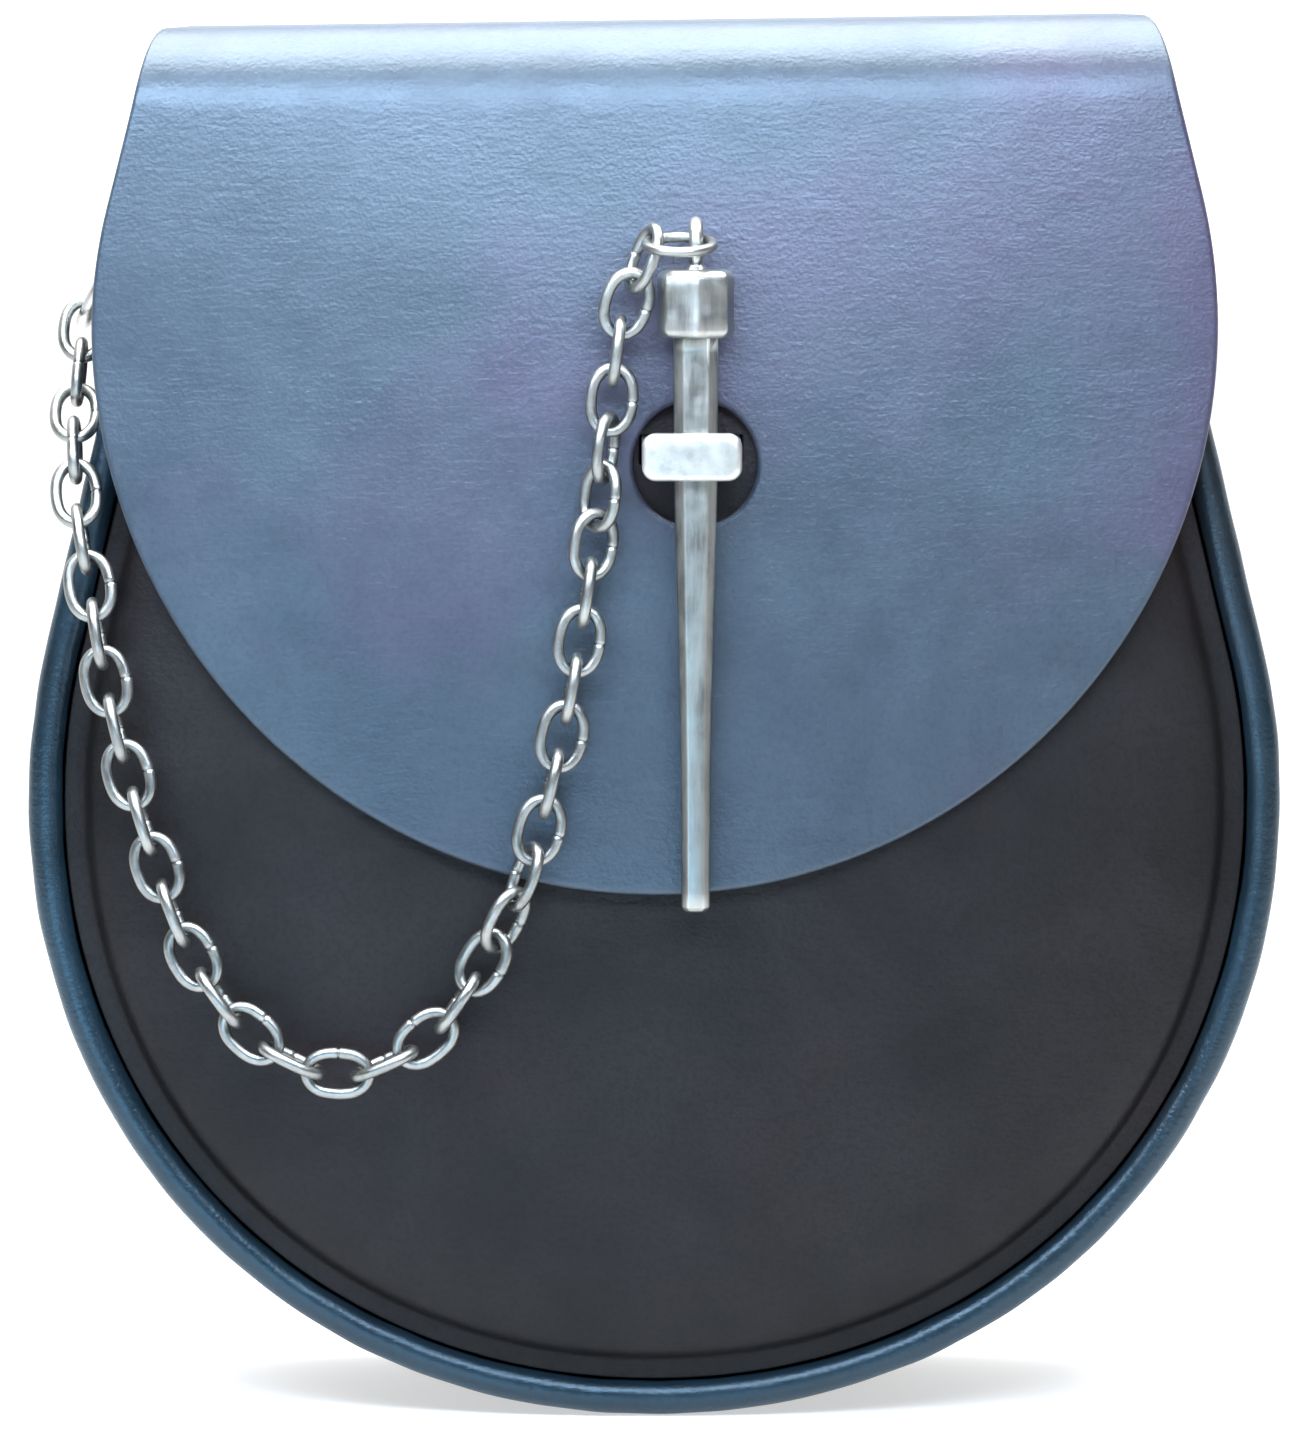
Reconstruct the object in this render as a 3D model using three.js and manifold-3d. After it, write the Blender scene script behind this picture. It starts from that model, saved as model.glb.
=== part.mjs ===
// A round leather pouch: piped front, fold-over flap, tapered pin in a keeper, and a safety chain.
// Millimetres. X to the wearer's left, the front faces -Y, Z is up.
// The origin lies midway between the two hanging rings.

import * as THREE from 'three';
import { mergeVertices } from 'three/addons/utils/BufferGeometryUtils.js';
import Module from 'manifold-3d';

const wasm = await Module();
wasm.setup();

// Clearance between pieces that touch
const GAP = 0.3;

// Outline of the pouch, seen from the front
const BODY_HALF_WIDTH = 92.5;
const BODY_DROP = 91;
const BODY_CENTRE_Z = -68.8;
const SIDE_SLOPE = 0.24;
const OUTLINE_POWER = 2.06;
const MOUTH_Z = 35;

// Depth of the pouch, from the back's outer face at BACK_Y to the front seam
const BACK_Y = 14;
const MOUTH_DEPTH = 26;
const BOTTOM_DEPTH = 40;

// Leather and seam
const PANEL_WALL = 2;
const GUSSET_WALL = 2;
const FLAP_WALL = 2.2;
const PIPING_DIAMETER = 5;
const GUSSET_INSET = 1.2;
const GUSSET_BULGE = 1;
const BACK_INSET = 1;
const PANEL_RISE = 9.5;
const PANEL_RIM = 9.2;
const PANEL_SHOULDER = 52;

// Flap
const FLAP_RADIUS = 82;
const FLAP_CENTRE_Z = 1.2;
const FLAP_SIDE_SLOPE = 0.25;
const FLAP_CROWN = 3;
const FOLD_CROWN_SHARE = 0.15;
const FLAP_TOP_CROWN_SHARE = 0.4;
const CROWN_ARC_STEPS = 3;
const FOLD_RISE = 9.8;
const FOLD_BACK_RADIUS = 11;
const FOLD_FRONT_RADIUS = 10;
const HOLE_RADIUS = 9.1;
const HOLE_X = 5.8;
const HOLE_Z = -18;

// Keeper
const KEEPER_X = 5.2;
const KEEPER_Z = -16;
const KEEPER_WIDTH = 14.4;
const KEEPER_HEIGHT = 6.9;
const KEEPER_BAR = 2.2;
const KEEPER_LEG = 1.8;
const KEEPER_LEG_HEIGHT = 3.6;
const KEEPER_BEVEL = 0.73;
const KEEPER_PLATE = 1.4;
const KEEPER_CORNER = 2;

// Pin
const PIN_X = 5.8;
const PIN_TOP_Z = 10.6;
const PIN_LENGTH = 93.2;
const HEAD_WIDTH = 11.4;
const HEAD_HEIGHT = 9.8;
const HEAD_BEVEL = 0.9;
const HEAD_SHOULDER_X = 0.8;
const HEAD_SHOULDER_Y = 0.64;
const SHANK_WIDTH = 6.4;
const TIP_WIDTH = 4.1;
const TIP_END_SHARE = 0.72;
const SHANK_CHAMFER = 0.22;
const EYE_RADIUS = 2.5;
const EYE_WIRE = 2.1;
const EYE_HEIGHT = 4.1;
const EYE_SIDES = 8;
const EYE_STEPS = 16;
const NECK_FOOT_RADIUS = 1.47;

// Ring on the pin's eye
const PIN_RING_RADIUS = 4.8;
const PIN_RING_WIRE = 1.5;
const PIN_RING_TURN = 0.52;
const PIN_RING_TILT = 0.2;
const PIN_RING_LIFT = 0.45;
const PIN_RING_HOOK = 0.5;

// Hanging rings and their tabs
const RING_INSIDE = 16;
const RING_WIRE = 2.2;
const RING_STRAIGHT = 3.5;
const RING_LEAN = 0.3;
const CHAIN_RING_LEAN = 0.5;
const RING_HOOK = 0.6;
const RING_BAR_Z = 12;
const TAB_LENGTH = 20;
const TAB_PLY = 1.6;
const TAB_CLOSE_SHARE = 1.4;

// Chain
const LINK_LENGTH = 10.9;
const LINK_WIDTH = 7.7;
const LINK_WIRE = 1.7;
const LINK_PITCH = 7.15;

// The chain's route, chosen by hand: down over the flap, round below it and up the left side
const CHAIN_ROUTE = [
  [-4.8, -32.6, 3.6],
  [-6.6, -32.6, -10.6],
  [-8.8, -33.2, -28],
  [-11.9, -34.6, -48.1],
  [-15, -35.6, -63],
  [-19.2, -36.4, -77.5],
  [-25.2, -36, -90],
  [-33.4, -36.2, -101],
  [-45.6, -36.6, -106.2],
  [-57.5, -36, -101.6],
  [-67.1, -34, -90],
  [-74.4, -31.8, -71],
  [-79.6, -28.8, -52],
  [-82.4, -26.9, -36],
  [-84.4, -23.1, -24.5],
  [-85.1, -18.6, -16.5],
  [-85.3, -12.3, -9.8],
];

// Roll of the first link, and how far each link from one to another turns beyond a quarter, in degrees
const FIRST_ROLL = 65;
const CHAIN_TWISTS = [
  { from: 1, to: 2, extra: 25 },
  { from: 4, to: 8, extra: 22 },
  { from: 13, to: 17, extra: -22 },
];
const SETTLING_LINKS = 8;

// Share of the panel's rise at each distance in from the panel's edge. In the first list inset is a
// share of the way from the edge to the rim, and in the second from the rim to the shoulder.
const PANEL_RIM_PROFILE = [
  { inset: 0, rise: 0 },
  { inset: 0.4, rise: 0.02 },
  { inset: 0.86, rise: 0.06 },
  { inset: 1, rise: 0.22 },
];
const PANEL_DOME_PROFILE = [
  { inset: 0.04, rise: 0.36 },
  { inset: 0.12, rise: 0.5 },
  { inset: 0.3, rise: 0.68 },
  { inset: 0.62, rise: 0.86 },
  { inset: 1, rise: 0.95 },
];

// Width of the pin's shank at each share of its length
const SHANK_PROFILE = [
  { along: 0, taper: 0 },
  { along: 0.22, taper: 0.06 },
  { along: 0.5, taper: 0.5 },
  { along: 0.8, taper: 0.92 },
  { along: 0.985, taper: 1 },
];

// Steps round the shapes
const SIDE_STEPS = 4;
const ARC_STEPS = 30;
const PIPING_SIDES = 8;
const GUSSET_STEPS = 3;
const FLAP_COLUMNS = 10;
const FLAP_ARC_STEPS = 14;
const FOLD_STEPS = 5;
const LINK_STEPS = 12;
const WIRE_SIDES = 6;
const RING_STEPS = 16;
const HOLE_STEPS = 28;
const CORNER_STEPS = 3;
const LOOP_STEPS = 8;
const COLUMN_SPREAD = 0.86;
const CURVE_DIVISIONS = 2000;

// A cutting tool reaches this many walls through the leather
const CUT_WALLS = 6;
// Points nearer than this are one point
const MERGE_DISTANCE = 1e-4;
const SLIVER_LENGTH = 1e-6;

const vec = (x, y, z) => new THREE.Vector3(x, y, z);
const lerp = THREE.MathUtils.lerp;

// Solids from points

// Closes a list of triangles into one geometry whose faces point out
function geometryOf(triangles) {
  const kept = triangles.filter(([a, b, c]) =>
    a.distanceTo(b) > SLIVER_LENGTH && b.distanceTo(c) > SLIVER_LENGTH && c.distanceTo(a) > SLIVER_LENGTH);
  let volume = 0;
  for (const [a, b, c] of kept) volume += a.dot(b.clone().cross(c));
  const position = [];
  for (const [a, b, c] of kept) {
    const order = volume > 0 ? [a, b, c] : [a, c, b];
    for (const p of order) position.push(p.x, p.y, p.z);
  }
  const geometry = new THREE.BufferGeometry();
  geometry.setAttribute('position', new THREE.Float32BufferAttribute(position, 3));
  return mergeVertices(geometry, MERGE_DISTANCE);
}

// Two grids of points, the faces of a sheet, closed round their edges; a folded sheet's last column
// meets itself, so it needs no closing there
function sheet(front, back, folded = false) {
  const triangles = [];
  const quad = (a, b, c, d) => triangles.push([a, b, c], [a, c, d]);
  const rows = front.length - 1;
  const columns = front[0].length - 1;
  for (let i = 0; i < rows; i++) {
    for (let j = 0; j < columns; j++) {
      quad(front[i][j], front[i][j + 1], front[i + 1][j + 1], front[i + 1][j]);
      quad(back[i][j], back[i + 1][j], back[i + 1][j + 1], back[i][j + 1]);
    }
    quad(front[i][0], front[i + 1][0], back[i + 1][0], back[i][0]);
    if (!folded) {
      quad(front[i][columns], back[i][columns], back[i + 1][columns], front[i + 1][columns]);
    }
  }
  for (let j = 0; j < columns; j++) {
    quad(front[0][j], back[0][j], back[0][j + 1], front[0][j + 1]);
    quad(front[rows][j], front[rows][j + 1], back[rows][j + 1], back[rows][j]);
  }
  return geometryOf(triangles);
}

// Closed loops of points joined into one solid, with a flat cap at each end or joined end to end
function loft(loops, closed = false) {
  const triangles = [];
  const count = loops[0].length;
  const spans = closed ? loops.length : loops.length - 1;
  for (let i = 0; i < spans; i++) {
    const here = loops[i];
    const next = loops[(i + 1) % loops.length];
    for (let j = 0; j < count; j++) {
      const k = (j + 1) % count;
      triangles.push([here[j], next[j], next[k]], [here[j], next[k], here[k]]);
    }
  }
  if (!closed) {
    const last = loops[loops.length - 1];
    for (let j = 1; j < count - 1; j++) {
      triangles.push([loops[0][0], loops[0][j], loops[0][j + 1]]);
      triangles.push([last[0], last[j + 1], last[j]]);
    }
  }
  return geometryOf(triangles);
}

// Booleans

function toManifold(geometry) {
  const bare = geometry.clone();
  bare.deleteAttribute('normal');
  bare.deleteAttribute('uv');
  const merged = mergeVertices(bare, MERGE_DISTANCE);
  return new wasm.Manifold(new wasm.Mesh({
    numProp: 3,
    vertProperties: new Float32Array(merged.attributes.position.array),
    triVerts: new Uint32Array(merged.index.array),
  }));
}

function fromManifold(solid) {
  const mesh = solid.getMesh();
  const geometry = new THREE.BufferGeometry();
  geometry.setAttribute('position', new THREE.Float32BufferAttribute(mesh.vertProperties, 3));
  geometry.setIndex(new THREE.Uint32BufferAttribute(mesh.triVerts, 1));
  return geometry;
}

const cut = (geometry, tool) => fromManifold(toManifold(geometry).subtract(toManifold(tool)));
const join = (a, b) => fromManifold(toManifold(a).add(toManifold(b)));
const common = (a, b) => fromManifold(toManifold(a).intersect(toManifold(b)));

// Materials

const finish = (color, roughness, metalness) => () =>
  new THREE.MeshStandardMaterial({ color, roughness, metalness });
const flapLeather = finish(0x2a2e38, 0.42, 0);
const bodyLeather = finish(0x1c1c20, 0.55, 0);
const pipingLeather = finish(0x1c2a33, 0.4, 0);
const pewter = finish(0xaeb6b4, 0.38, 0.95);

const pouch = new THREE.Group();

function piece(name, geometry, material, parent = pouch) {
  const mesh = new THREE.Mesh(geometry, material());
  mesh.name = name;
  parent.add(mesh);
  return mesh;
}

// Outline of the body

const BODY_HEIGHT = MOUTH_Z - BODY_CENTRE_Z + BODY_DROP;
const TANGENT = Math.atan((SIDE_SLOPE * BODY_DROP / BODY_HALF_WIDTH)
  ** (OUTLINE_POWER / (2 * OUTLINE_POWER - 2)));
const SIDE_STRETCH = Math.hypot(1, SIDE_SLOPE);

// A point of the round part, an ellipse that is a little full at its corners
function arcPoint(angle, inset) {
  const across = Math.abs(Math.cos(angle)) ** (2 / OUTLINE_POWER);
  const down = Math.sign(Math.sin(angle)) * Math.abs(Math.sin(angle)) ** (2 / OUTLINE_POWER);
  const normal = new THREE.Vector2(
    across ** (OUTLINE_POWER - 1) / BODY_HALF_WIDTH,
    Math.sign(down) * Math.abs(down) ** (OUTLINE_POWER - 1) / BODY_DROP,
  ).normalize();
  return {
    x: BODY_HALF_WIDTH * across - inset * normal.x,
    z: BODY_CENTRE_Z + BODY_DROP * down - inset * normal.y,
  };
}

const { x: TANGENT_X, z: TANGENT_Z } = arcPoint(TANGENT, 0);

// A point of the right half of the outline on the straight side, inset by a distance
const sideX = (z, inset = 0) => TANGENT_X - SIDE_SLOPE * (z - TANGENT_Z) - inset * SIDE_STRETCH;

function sidePoint(share, inset) {
  const low = arcPoint(TANGENT, inset);
  const z = lerp(MOUTH_Z, low.z, share);
  return { x: sideX(z, inset), z };
}

// The whole outline, from the left mouth corner round the bottom to the right one
function outline(inset) {
  const right = [];
  for (let i = 0; i < SIDE_STEPS; i++) right.push(sidePoint(i / SIDE_STEPS, inset));
  const half = ARC_STEPS / 2;
  for (let i = 0; i <= half; i++) right.push(arcPoint(lerp(TANGENT, -Math.PI / 2, i / half), inset));
  right[right.length - 1].x = 0;
  const left = right.slice(0, -1).map(({ x, z }) => ({ x: -x, z }));
  return [...left, ...right.reverse()];
}

// The front seam leans forward towards the bottom
const MOUTH_FRONT_Y = BACK_Y - MOUTH_DEPTH;
const LEAN = (BOTTOM_DEPTH - MOUTH_DEPTH) / BODY_HEIGHT;
const seamY = (z) => MOUTH_FRONT_Y - LEAN * (MOUTH_Z - z);

// Front panel: a flat seam edge, a turned-up rim and a dome

const PIPING_RADIUS = PIPING_DIAMETER / 2;
const PANEL_INSET = PIPING_DIAMETER + GAP;

function frontPanel() {
  const edge = outline(PANEL_INSET);
  const front = [];
  const back = [];
  edge.forEach((point) => {
    const targetZ = Math.max(point.z, BODY_CENTRE_Z);
    const reach = Math.hypot(point.x, point.z - targetZ);
    const rings = [
      ...PANEL_RIM_PROFILE.map(({ inset, rise }) => ({ d: inset * (PANEL_RIM - PANEL_INSET), rise })),
      ...PANEL_DOME_PROFILE.map(({ inset, rise }) => ({
        d: PANEL_RIM - PANEL_INSET + inset * (PANEL_SHOULDER - PANEL_RIM),
        rise,
      })),
      { d: reach, rise: 1 },
    ];
    const rowFront = [];
    const rowBack = [];
    for (const { d, rise } of rings) {
      const keep = Math.max(0, 1 - d / reach);
      const x = keep === 0 ? 0 : point.x * keep;
      const z = keep === 0 ? targetZ : targetZ + (point.z - targetZ) * keep;
      const y = seamY(z) - PANEL_RISE * (keep === 0 ? 1 : rise);
      rowFront.push(vec(x, y, z));
      rowBack.push(vec(x, y + PANEL_WALL, z));
    }
    front.push(rowFront);
    back.push(rowBack);
  });
  return sheet(front, back, true);
}

// Gusset: one strip round the body, a little full between its two seams

function gusset() {
  const outer = [];
  const inner = [];
  const levels = [];
  for (let k = 0; k <= GUSSET_STEPS; k++) levels.push(k / GUSSET_STEPS);
  const rim = outline(0);
  rim.forEach((point, i) => {
    const frontY = seamY(point.z) + PIPING_RADIUS + GAP;
    const backY = BACK_Y - FLAP_WALL - GAP;
    const row = (wall) => levels.map((level) => {
      const bulge = GUSSET_BULGE * Math.sin(Math.PI * level);
      const place = outline(GUSSET_INSET - bulge + wall)[i];
      return vec(place.x, lerp(frontY, backY, level), place.z);
    });
    outer.push(row(0));
    inner.push(row(GUSSET_WALL));
  });
  return sheet(outer, inner);
}

// Piping: the round welt in the front seam

function piping() {
  const loops = [];
  const centres = outline(PIPING_RADIUS);
  const rims = outline(0);
  centres.forEach((centre, i) => {
    const out = vec(rims[i].x - centre.x, 0, rims[i].z - centre.z).normalize();
    const loop = [];
    for (let k = 0; k < PIPING_SIDES; k++) {
      const angle = 2 * Math.PI * (k + 0.5) / PIPING_SIDES;
      const across = out.clone().multiplyScalar(PIPING_RADIUS * Math.cos(angle));
      loop.push(vec(centre.x, seamY(centre.z) + PIPING_RADIUS * Math.sin(angle), centre.z).add(across));
    }
    loops.push(loop);
  });
  return loft(loops);
}

// Back and flap: one piece of leather, up the back, over the mouth and down the front

const flapInnerY = (z) => seamY(z) - PANEL_RISE - GAP;
const flapOuterY = (z) => flapInnerY(z) - FLAP_WALL;
const backInnerY = BACK_Y - FLAP_WALL;
const FOLD_TOP_Z = MOUTH_Z + FOLD_RISE;
const FLAP_TANGENT = Math.atan(FLAP_SIDE_SLOPE);
const flapSideX = FLAP_RADIUS * Math.cos(FLAP_TANGENT);

// Stations along the leather: y and z on its inner face, its outward normal, half-width and crown
function leatherStations() {
  const stations = [];
  const add = (y, z, ny, nz, half, crown) => stations.push({ y, z, ny, nz, half, crown });
  const backZ = FOLD_TOP_Z - FOLD_BACK_RADIUS;
  for (const point of outline(BACK_INSET).filter(({ x }) => x >= 0).reverse()) {
    if (point.z < backZ) add(backInnerY, point.z, 1, 0, point.x, 0);
  }
  stations.sort((a, b) => a.z - b.z);
  const leanAngle = Math.atan(LEAN);
  const frontZ = FOLD_TOP_Z - FOLD_FRONT_RADIUS * (1 - Math.sin(leanAngle));
  const foldStart = stations.length;
  for (let i = 0; i <= FOLD_STEPS; i++) {
    const a = (Math.PI / 2) * (i / FOLD_STEPS);
    const y = backInnerY - FOLD_BACK_RADIUS * (1 - Math.cos(a));
    add(y, backZ + FOLD_BACK_RADIUS * Math.sin(a), Math.cos(a), Math.sin(a), null, 0);
  }
  const frontCentreY = flapInnerY(frontZ) + FOLD_FRONT_RADIUS * Math.cos(leanAngle);
  const frontCentreZ = FOLD_TOP_Z - FOLD_FRONT_RADIUS;
  for (let i = 0; i <= FOLD_STEPS; i++) {
    const a = lerp(Math.PI / 2, leanAngle, i / FOLD_STEPS);
    const y = frontCentreY - FOLD_FRONT_RADIUS * Math.cos(a);
    const z = frontCentreZ + FOLD_FRONT_RADIUS * Math.sin(a);
    add(y, z, -Math.cos(a), Math.sin(a), null, FOLD_CROWN_SHARE * (1 - Math.sin(a)));
  }
  const foldEnd = stations.length;
  for (let i = 0; i <= FLAP_ARC_STEPS; i++) {
    const a = lerp(FLAP_TANGENT, -Math.PI / 2, i / FLAP_ARC_STEPS);
    const z = FLAP_CENTRE_Z + FLAP_RADIUS * Math.sin(a);
    const half = i === FLAP_ARC_STEPS ? 0 : FLAP_RADIUS * Math.cos(a);
    const crown = lerp(FLAP_TOP_CROWN_SHARE, 1, Math.min(1, i / CROWN_ARC_STEPS));
    add(flapInnerY(z), z, -Math.cos(leanAngle), Math.sin(leanAngle), half, crown);
  }
  // From the flap's round part the sides run straight up, until they meet the width of the back
  const backHalf = sideX(backZ, BACK_INSET);
  let length = 0;
  for (let i = foldEnd - 1; i >= foldStart; i--) {
    const before = stations[i + 1];
    length += Math.hypot(stations[i].y - before.y, stations[i].z - before.z);
    stations[i].half = Math.max(backHalf, flapSideX - FLAP_SIDE_SLOPE * length);
  }
  return stations;
}

function backAndFlap() {
  const inner = [];
  const outer = [];
  for (const { y, z, ny, nz, half, crown } of leatherStations()) {
    const innerRow = [];
    const outerRow = [];
    for (let j = 0; j <= FLAP_COLUMNS; j++) {
      const spread = (j / FLAP_COLUMNS - 0.5) * Math.PI * COLUMN_SPREAD;
      const across = Math.sin(spread) / Math.sin(Math.PI * COLUMN_SPREAD / 2);
      const x = half * across;
      const back = FLAP_CROWN * crown * (x / FLAP_RADIUS) ** 2;
      innerRow.push(vec(x, y + back, z));
      outerRow.push(vec(x, y + back + ny * FLAP_WALL, z + nz * FLAP_WALL));
    }
    inner.push(innerRow);
    outer.push(outerRow);
  }
  const hole = new THREE.CylinderGeometry(HOLE_RADIUS, HOLE_RADIUS, CUT_WALLS * FLAP_WALL, HOLE_STEPS);
  hole.translate(HOLE_X, flapInnerY(HOLE_Z), HOLE_Z);
  return cut(sheet(outer, inner), hole);
}

// Pin: an eight-sided head with an eye and a square shank that tapers to a blunt tip. Two broad sides
// of the head meet in a ridge at the front, and two at the back.

const headHalf = HEAD_WIDTH / 2;
// Two gaps at its top, because the flap leans more than the pin and comes nearest at the head's foot
const PIN_TOP_Y = flapOuterY(PIN_TOP_Z) - headHalf - 2 * GAP;
const PIN_TIP_Z = PIN_TOP_Z - PIN_LENGTH;
const PIN_TIP_Y = flapOuterY(PIN_TIP_Z) - TIP_WIDTH / 2 - GAP;
const PIN_TILT = Math.atan2(PIN_TOP_Y - PIN_TIP_Y, PIN_LENGTH);
const pinAxisY = (z) => lerp(PIN_TOP_Y, PIN_TIP_Y, (PIN_TOP_Z - z) / PIN_LENGTH);

function headLoop(z, inset) {
  const radius = headHalf - inset;
  const x = radius * HEAD_SHOULDER_X;
  const y = radius * HEAD_SHOULDER_Y;
  const corners = [[radius, 0], [x, y], [0, radius], [-x, y], [-radius, 0], [-x, -y], [0, -radius], [x, -y]];
  return corners.map(([cornerX, cornerY]) => vec(cornerX, cornerY, z));
}

function shankLoop(z, width) {
  const half = width / 2;
  const corner = half - width * SHANK_CHAMFER;
  const sides = [[half, corner], [corner, half], [-corner, half], [-half, corner],
    [-half, -corner], [-corner, -half], [corner, -half], [half, -corner]];
  return sides.map(([x, y]) => vec(x, y, z));
}

function pinSolid() {
  const head = loft([
    headLoop(0, HEAD_BEVEL),
    headLoop(-HEAD_BEVEL, 0),
    headLoop(HEAD_BEVEL - HEAD_HEIGHT, 0),
    headLoop(-HEAD_HEIGHT, HEAD_BEVEL),
  ]);
  const shankLength = PIN_LENGTH - HEAD_HEIGHT;
  const shankLoops = SHANK_PROFILE.map(({ along, taper }) =>
    shankLoop(-HEAD_HEIGHT - along * shankLength, lerp(SHANK_WIDTH, TIP_WIDTH, taper)));
  shankLoops[0].forEach((point) => { point.z += HEAD_BEVEL; });
  shankLoops.push(shankLoop(-PIN_LENGTH, TIP_WIDTH * TIP_END_SHARE));
  const eye = new THREE.TorusGeometry(EYE_RADIUS, EYE_WIRE / 2, EYE_SIDES, EYE_STEPS);
  eye.rotateY(Math.PI / 2);
  eye.translate(0, 0, EYE_HEIGHT);
  const neckHeight = EYE_HEIGHT - EYE_RADIUS + HEAD_BEVEL;
  const neck = new THREE.CylinderGeometry(EYE_WIRE / 2, NECK_FOOT_RADIUS, neckHeight, EYE_SIDES);
  neck.rotateX(Math.PI / 2);
  neck.translate(0, 0, neckHeight / 2 - HEAD_BEVEL);
  return join(join(join(head, loft(shankLoops)), eye), neck);
}

const pinGroup = new THREE.Group();
pinGroup.position.set(PIN_X, PIN_TOP_Y, PIN_TOP_Z);
pinGroup.rotation.x = -PIN_TILT;
pouch.add(pinGroup);

// Ring through the eye, leaning on the wire's own clearance towards the front left

function pinRing() {
  const geometry = new THREE.TorusGeometry(PIN_RING_RADIUS, PIN_RING_WIRE / 2, WIRE_SIDES, RING_STEPS);
  geometry.translate(
    -PIN_RING_RADIUS * Math.sin(PIN_RING_TURN),
    -PIN_RING_RADIUS * Math.cos(PIN_RING_TURN),
    0,
  );
  geometry.rotateX(PIN_RING_TILT);
  geometry.translate(0, 0, EYE_HEIGHT + PIN_RING_LIFT);
  return geometry;
}

// Keeper: a staple through the hole, closed behind the panel by its own plate. Its legs are lower
// than its bar and its plate.

const panelInnerY = (z) => seamY(z) - PANEL_RISE + PANEL_WALL;
const keeperBarBackY = pinAxisY(KEEPER_Z - KEEPER_HEIGHT / 2) - SHANK_WIDTH / 2 - 2 * GAP;
const keeperFrontY = keeperBarBackY - KEEPER_BAR;
const keeperPlateY = panelInnerY(KEEPER_Z + KEEPER_HEIGHT / 2) + 2 * GAP;
const keeperBackY = keeperPlateY + KEEPER_PLATE;

function roundedRectangle(width, height, radius) {
  const shape = new THREE.Shape();
  const x = width / 2;
  const y = height / 2;
  shape.moveTo(-x + radius, -y);
  shape.lineTo(x - radius, -y);
  shape.absarc(x - radius, -y + radius, radius, -Math.PI / 2, 0, false);
  shape.lineTo(x, y - radius);
  shape.absarc(x - radius, y - radius, radius, 0, Math.PI / 2, false);
  shape.lineTo(-x + radius, y);
  shape.absarc(-x + radius, y - radius, radius, Math.PI / 2, Math.PI, false);
  shape.lineTo(-x, -y + radius);
  shape.absarc(-x + radius, -y + radius, radius, Math.PI, 1.5 * Math.PI, false);
  return shape;
}

function keeper() {
  const half = KEEPER_WIDTH / 2;
  const ring = new THREE.Shape();
  ring.moveTo(-half, keeperFrontY);
  ring.lineTo(half, keeperFrontY);
  ring.lineTo(half, keeperBackY);
  ring.lineTo(-half, keeperBackY);
  const inside = half - KEEPER_LEG;
  const opening = new THREE.Path();
  opening.moveTo(-inside, keeperBarBackY);
  opening.lineTo(-inside, keeperPlateY);
  opening.lineTo(inside, keeperPlateY);
  opening.lineTo(inside, keeperBarBackY);
  ring.holes.push(opening);
  const body = new THREE.ExtrudeGeometry(ring, { depth: KEEPER_HEIGHT, bevelEnabled: false });
  body.translate(0, 0, -KEEPER_HEIGHT / 2);
  const depth = keeperBackY - keeperFrontY;
  const face = roundedRectangle(KEEPER_WIDTH, KEEPER_HEIGHT, KEEPER_CORNER);
  const block = new THREE.ExtrudeGeometry(face, {
    depth: depth - KEEPER_BEVEL,
    bevelEnabled: true,
    bevelSegments: 1,
    bevelThickness: KEEPER_BEVEL,
    bevelSize: KEEPER_BEVEL,
    bevelOffset: -KEEPER_BEVEL,
    curveSegments: CORNER_STEPS,
  });
  block.rotateX(Math.PI / 2);
  block.translate(0, keeperBackY, 0);
  let solid = common(body, block);
  const legDepth = keeperPlateY - keeperBarBackY;
  for (const side of [-1, 1]) {
    const waste = new THREE.BoxGeometry(2 * KEEPER_WIDTH, legDepth, KEEPER_HEIGHT);
    waste.translate(0, keeperBarBackY + legDepth / 2, side * (KEEPER_LEG_HEIGHT + KEEPER_HEIGHT) / 2);
    solid = cut(solid, waste);
  }
  solid.translate(KEEPER_X, 0, KEEPER_Z);
  return solid;
}

// The panel's two slots for the keeper's legs
function slottedPanel() {
  let panel = frontPanel();
  const slotHeight = KEEPER_LEG_HEIGHT + 2 * GAP;
  for (const side of [-1, 1]) {
    const slot = new THREE.BoxGeometry(KEEPER_LEG + 2 * GAP, CUT_WALLS * PANEL_WALL, slotHeight);
    const x = KEEPER_X + side * (KEEPER_WIDTH - KEEPER_LEG) / 2;
    slot.translate(x, panelInnerY(KEEPER_Z) - PANEL_WALL / 2, KEEPER_Z);
    panel = cut(panel, slot);
  }
  return panel;
}

// Hanging rings: a D of wire in a doubled leather tab on each side of the gusset

const LOOP_HOLE = RING_WIRE / 2 + GAP;
const LOOP_RADIUS = LOOP_HOLE + TAB_PLY;
const SLOPE_ANGLE = Math.atan(SIDE_SLOPE);
const gussetFace = GUSSET_INSET - GUSSET_BULGE;
const ringBarX = sideX(RING_BAR_Z, gussetFace) + (LOOP_RADIUS + GAP) / Math.cos(SLOPE_ANGLE);
const RING_BEND = RING_INSIDE / 2 + RING_WIRE / 2;

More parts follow.
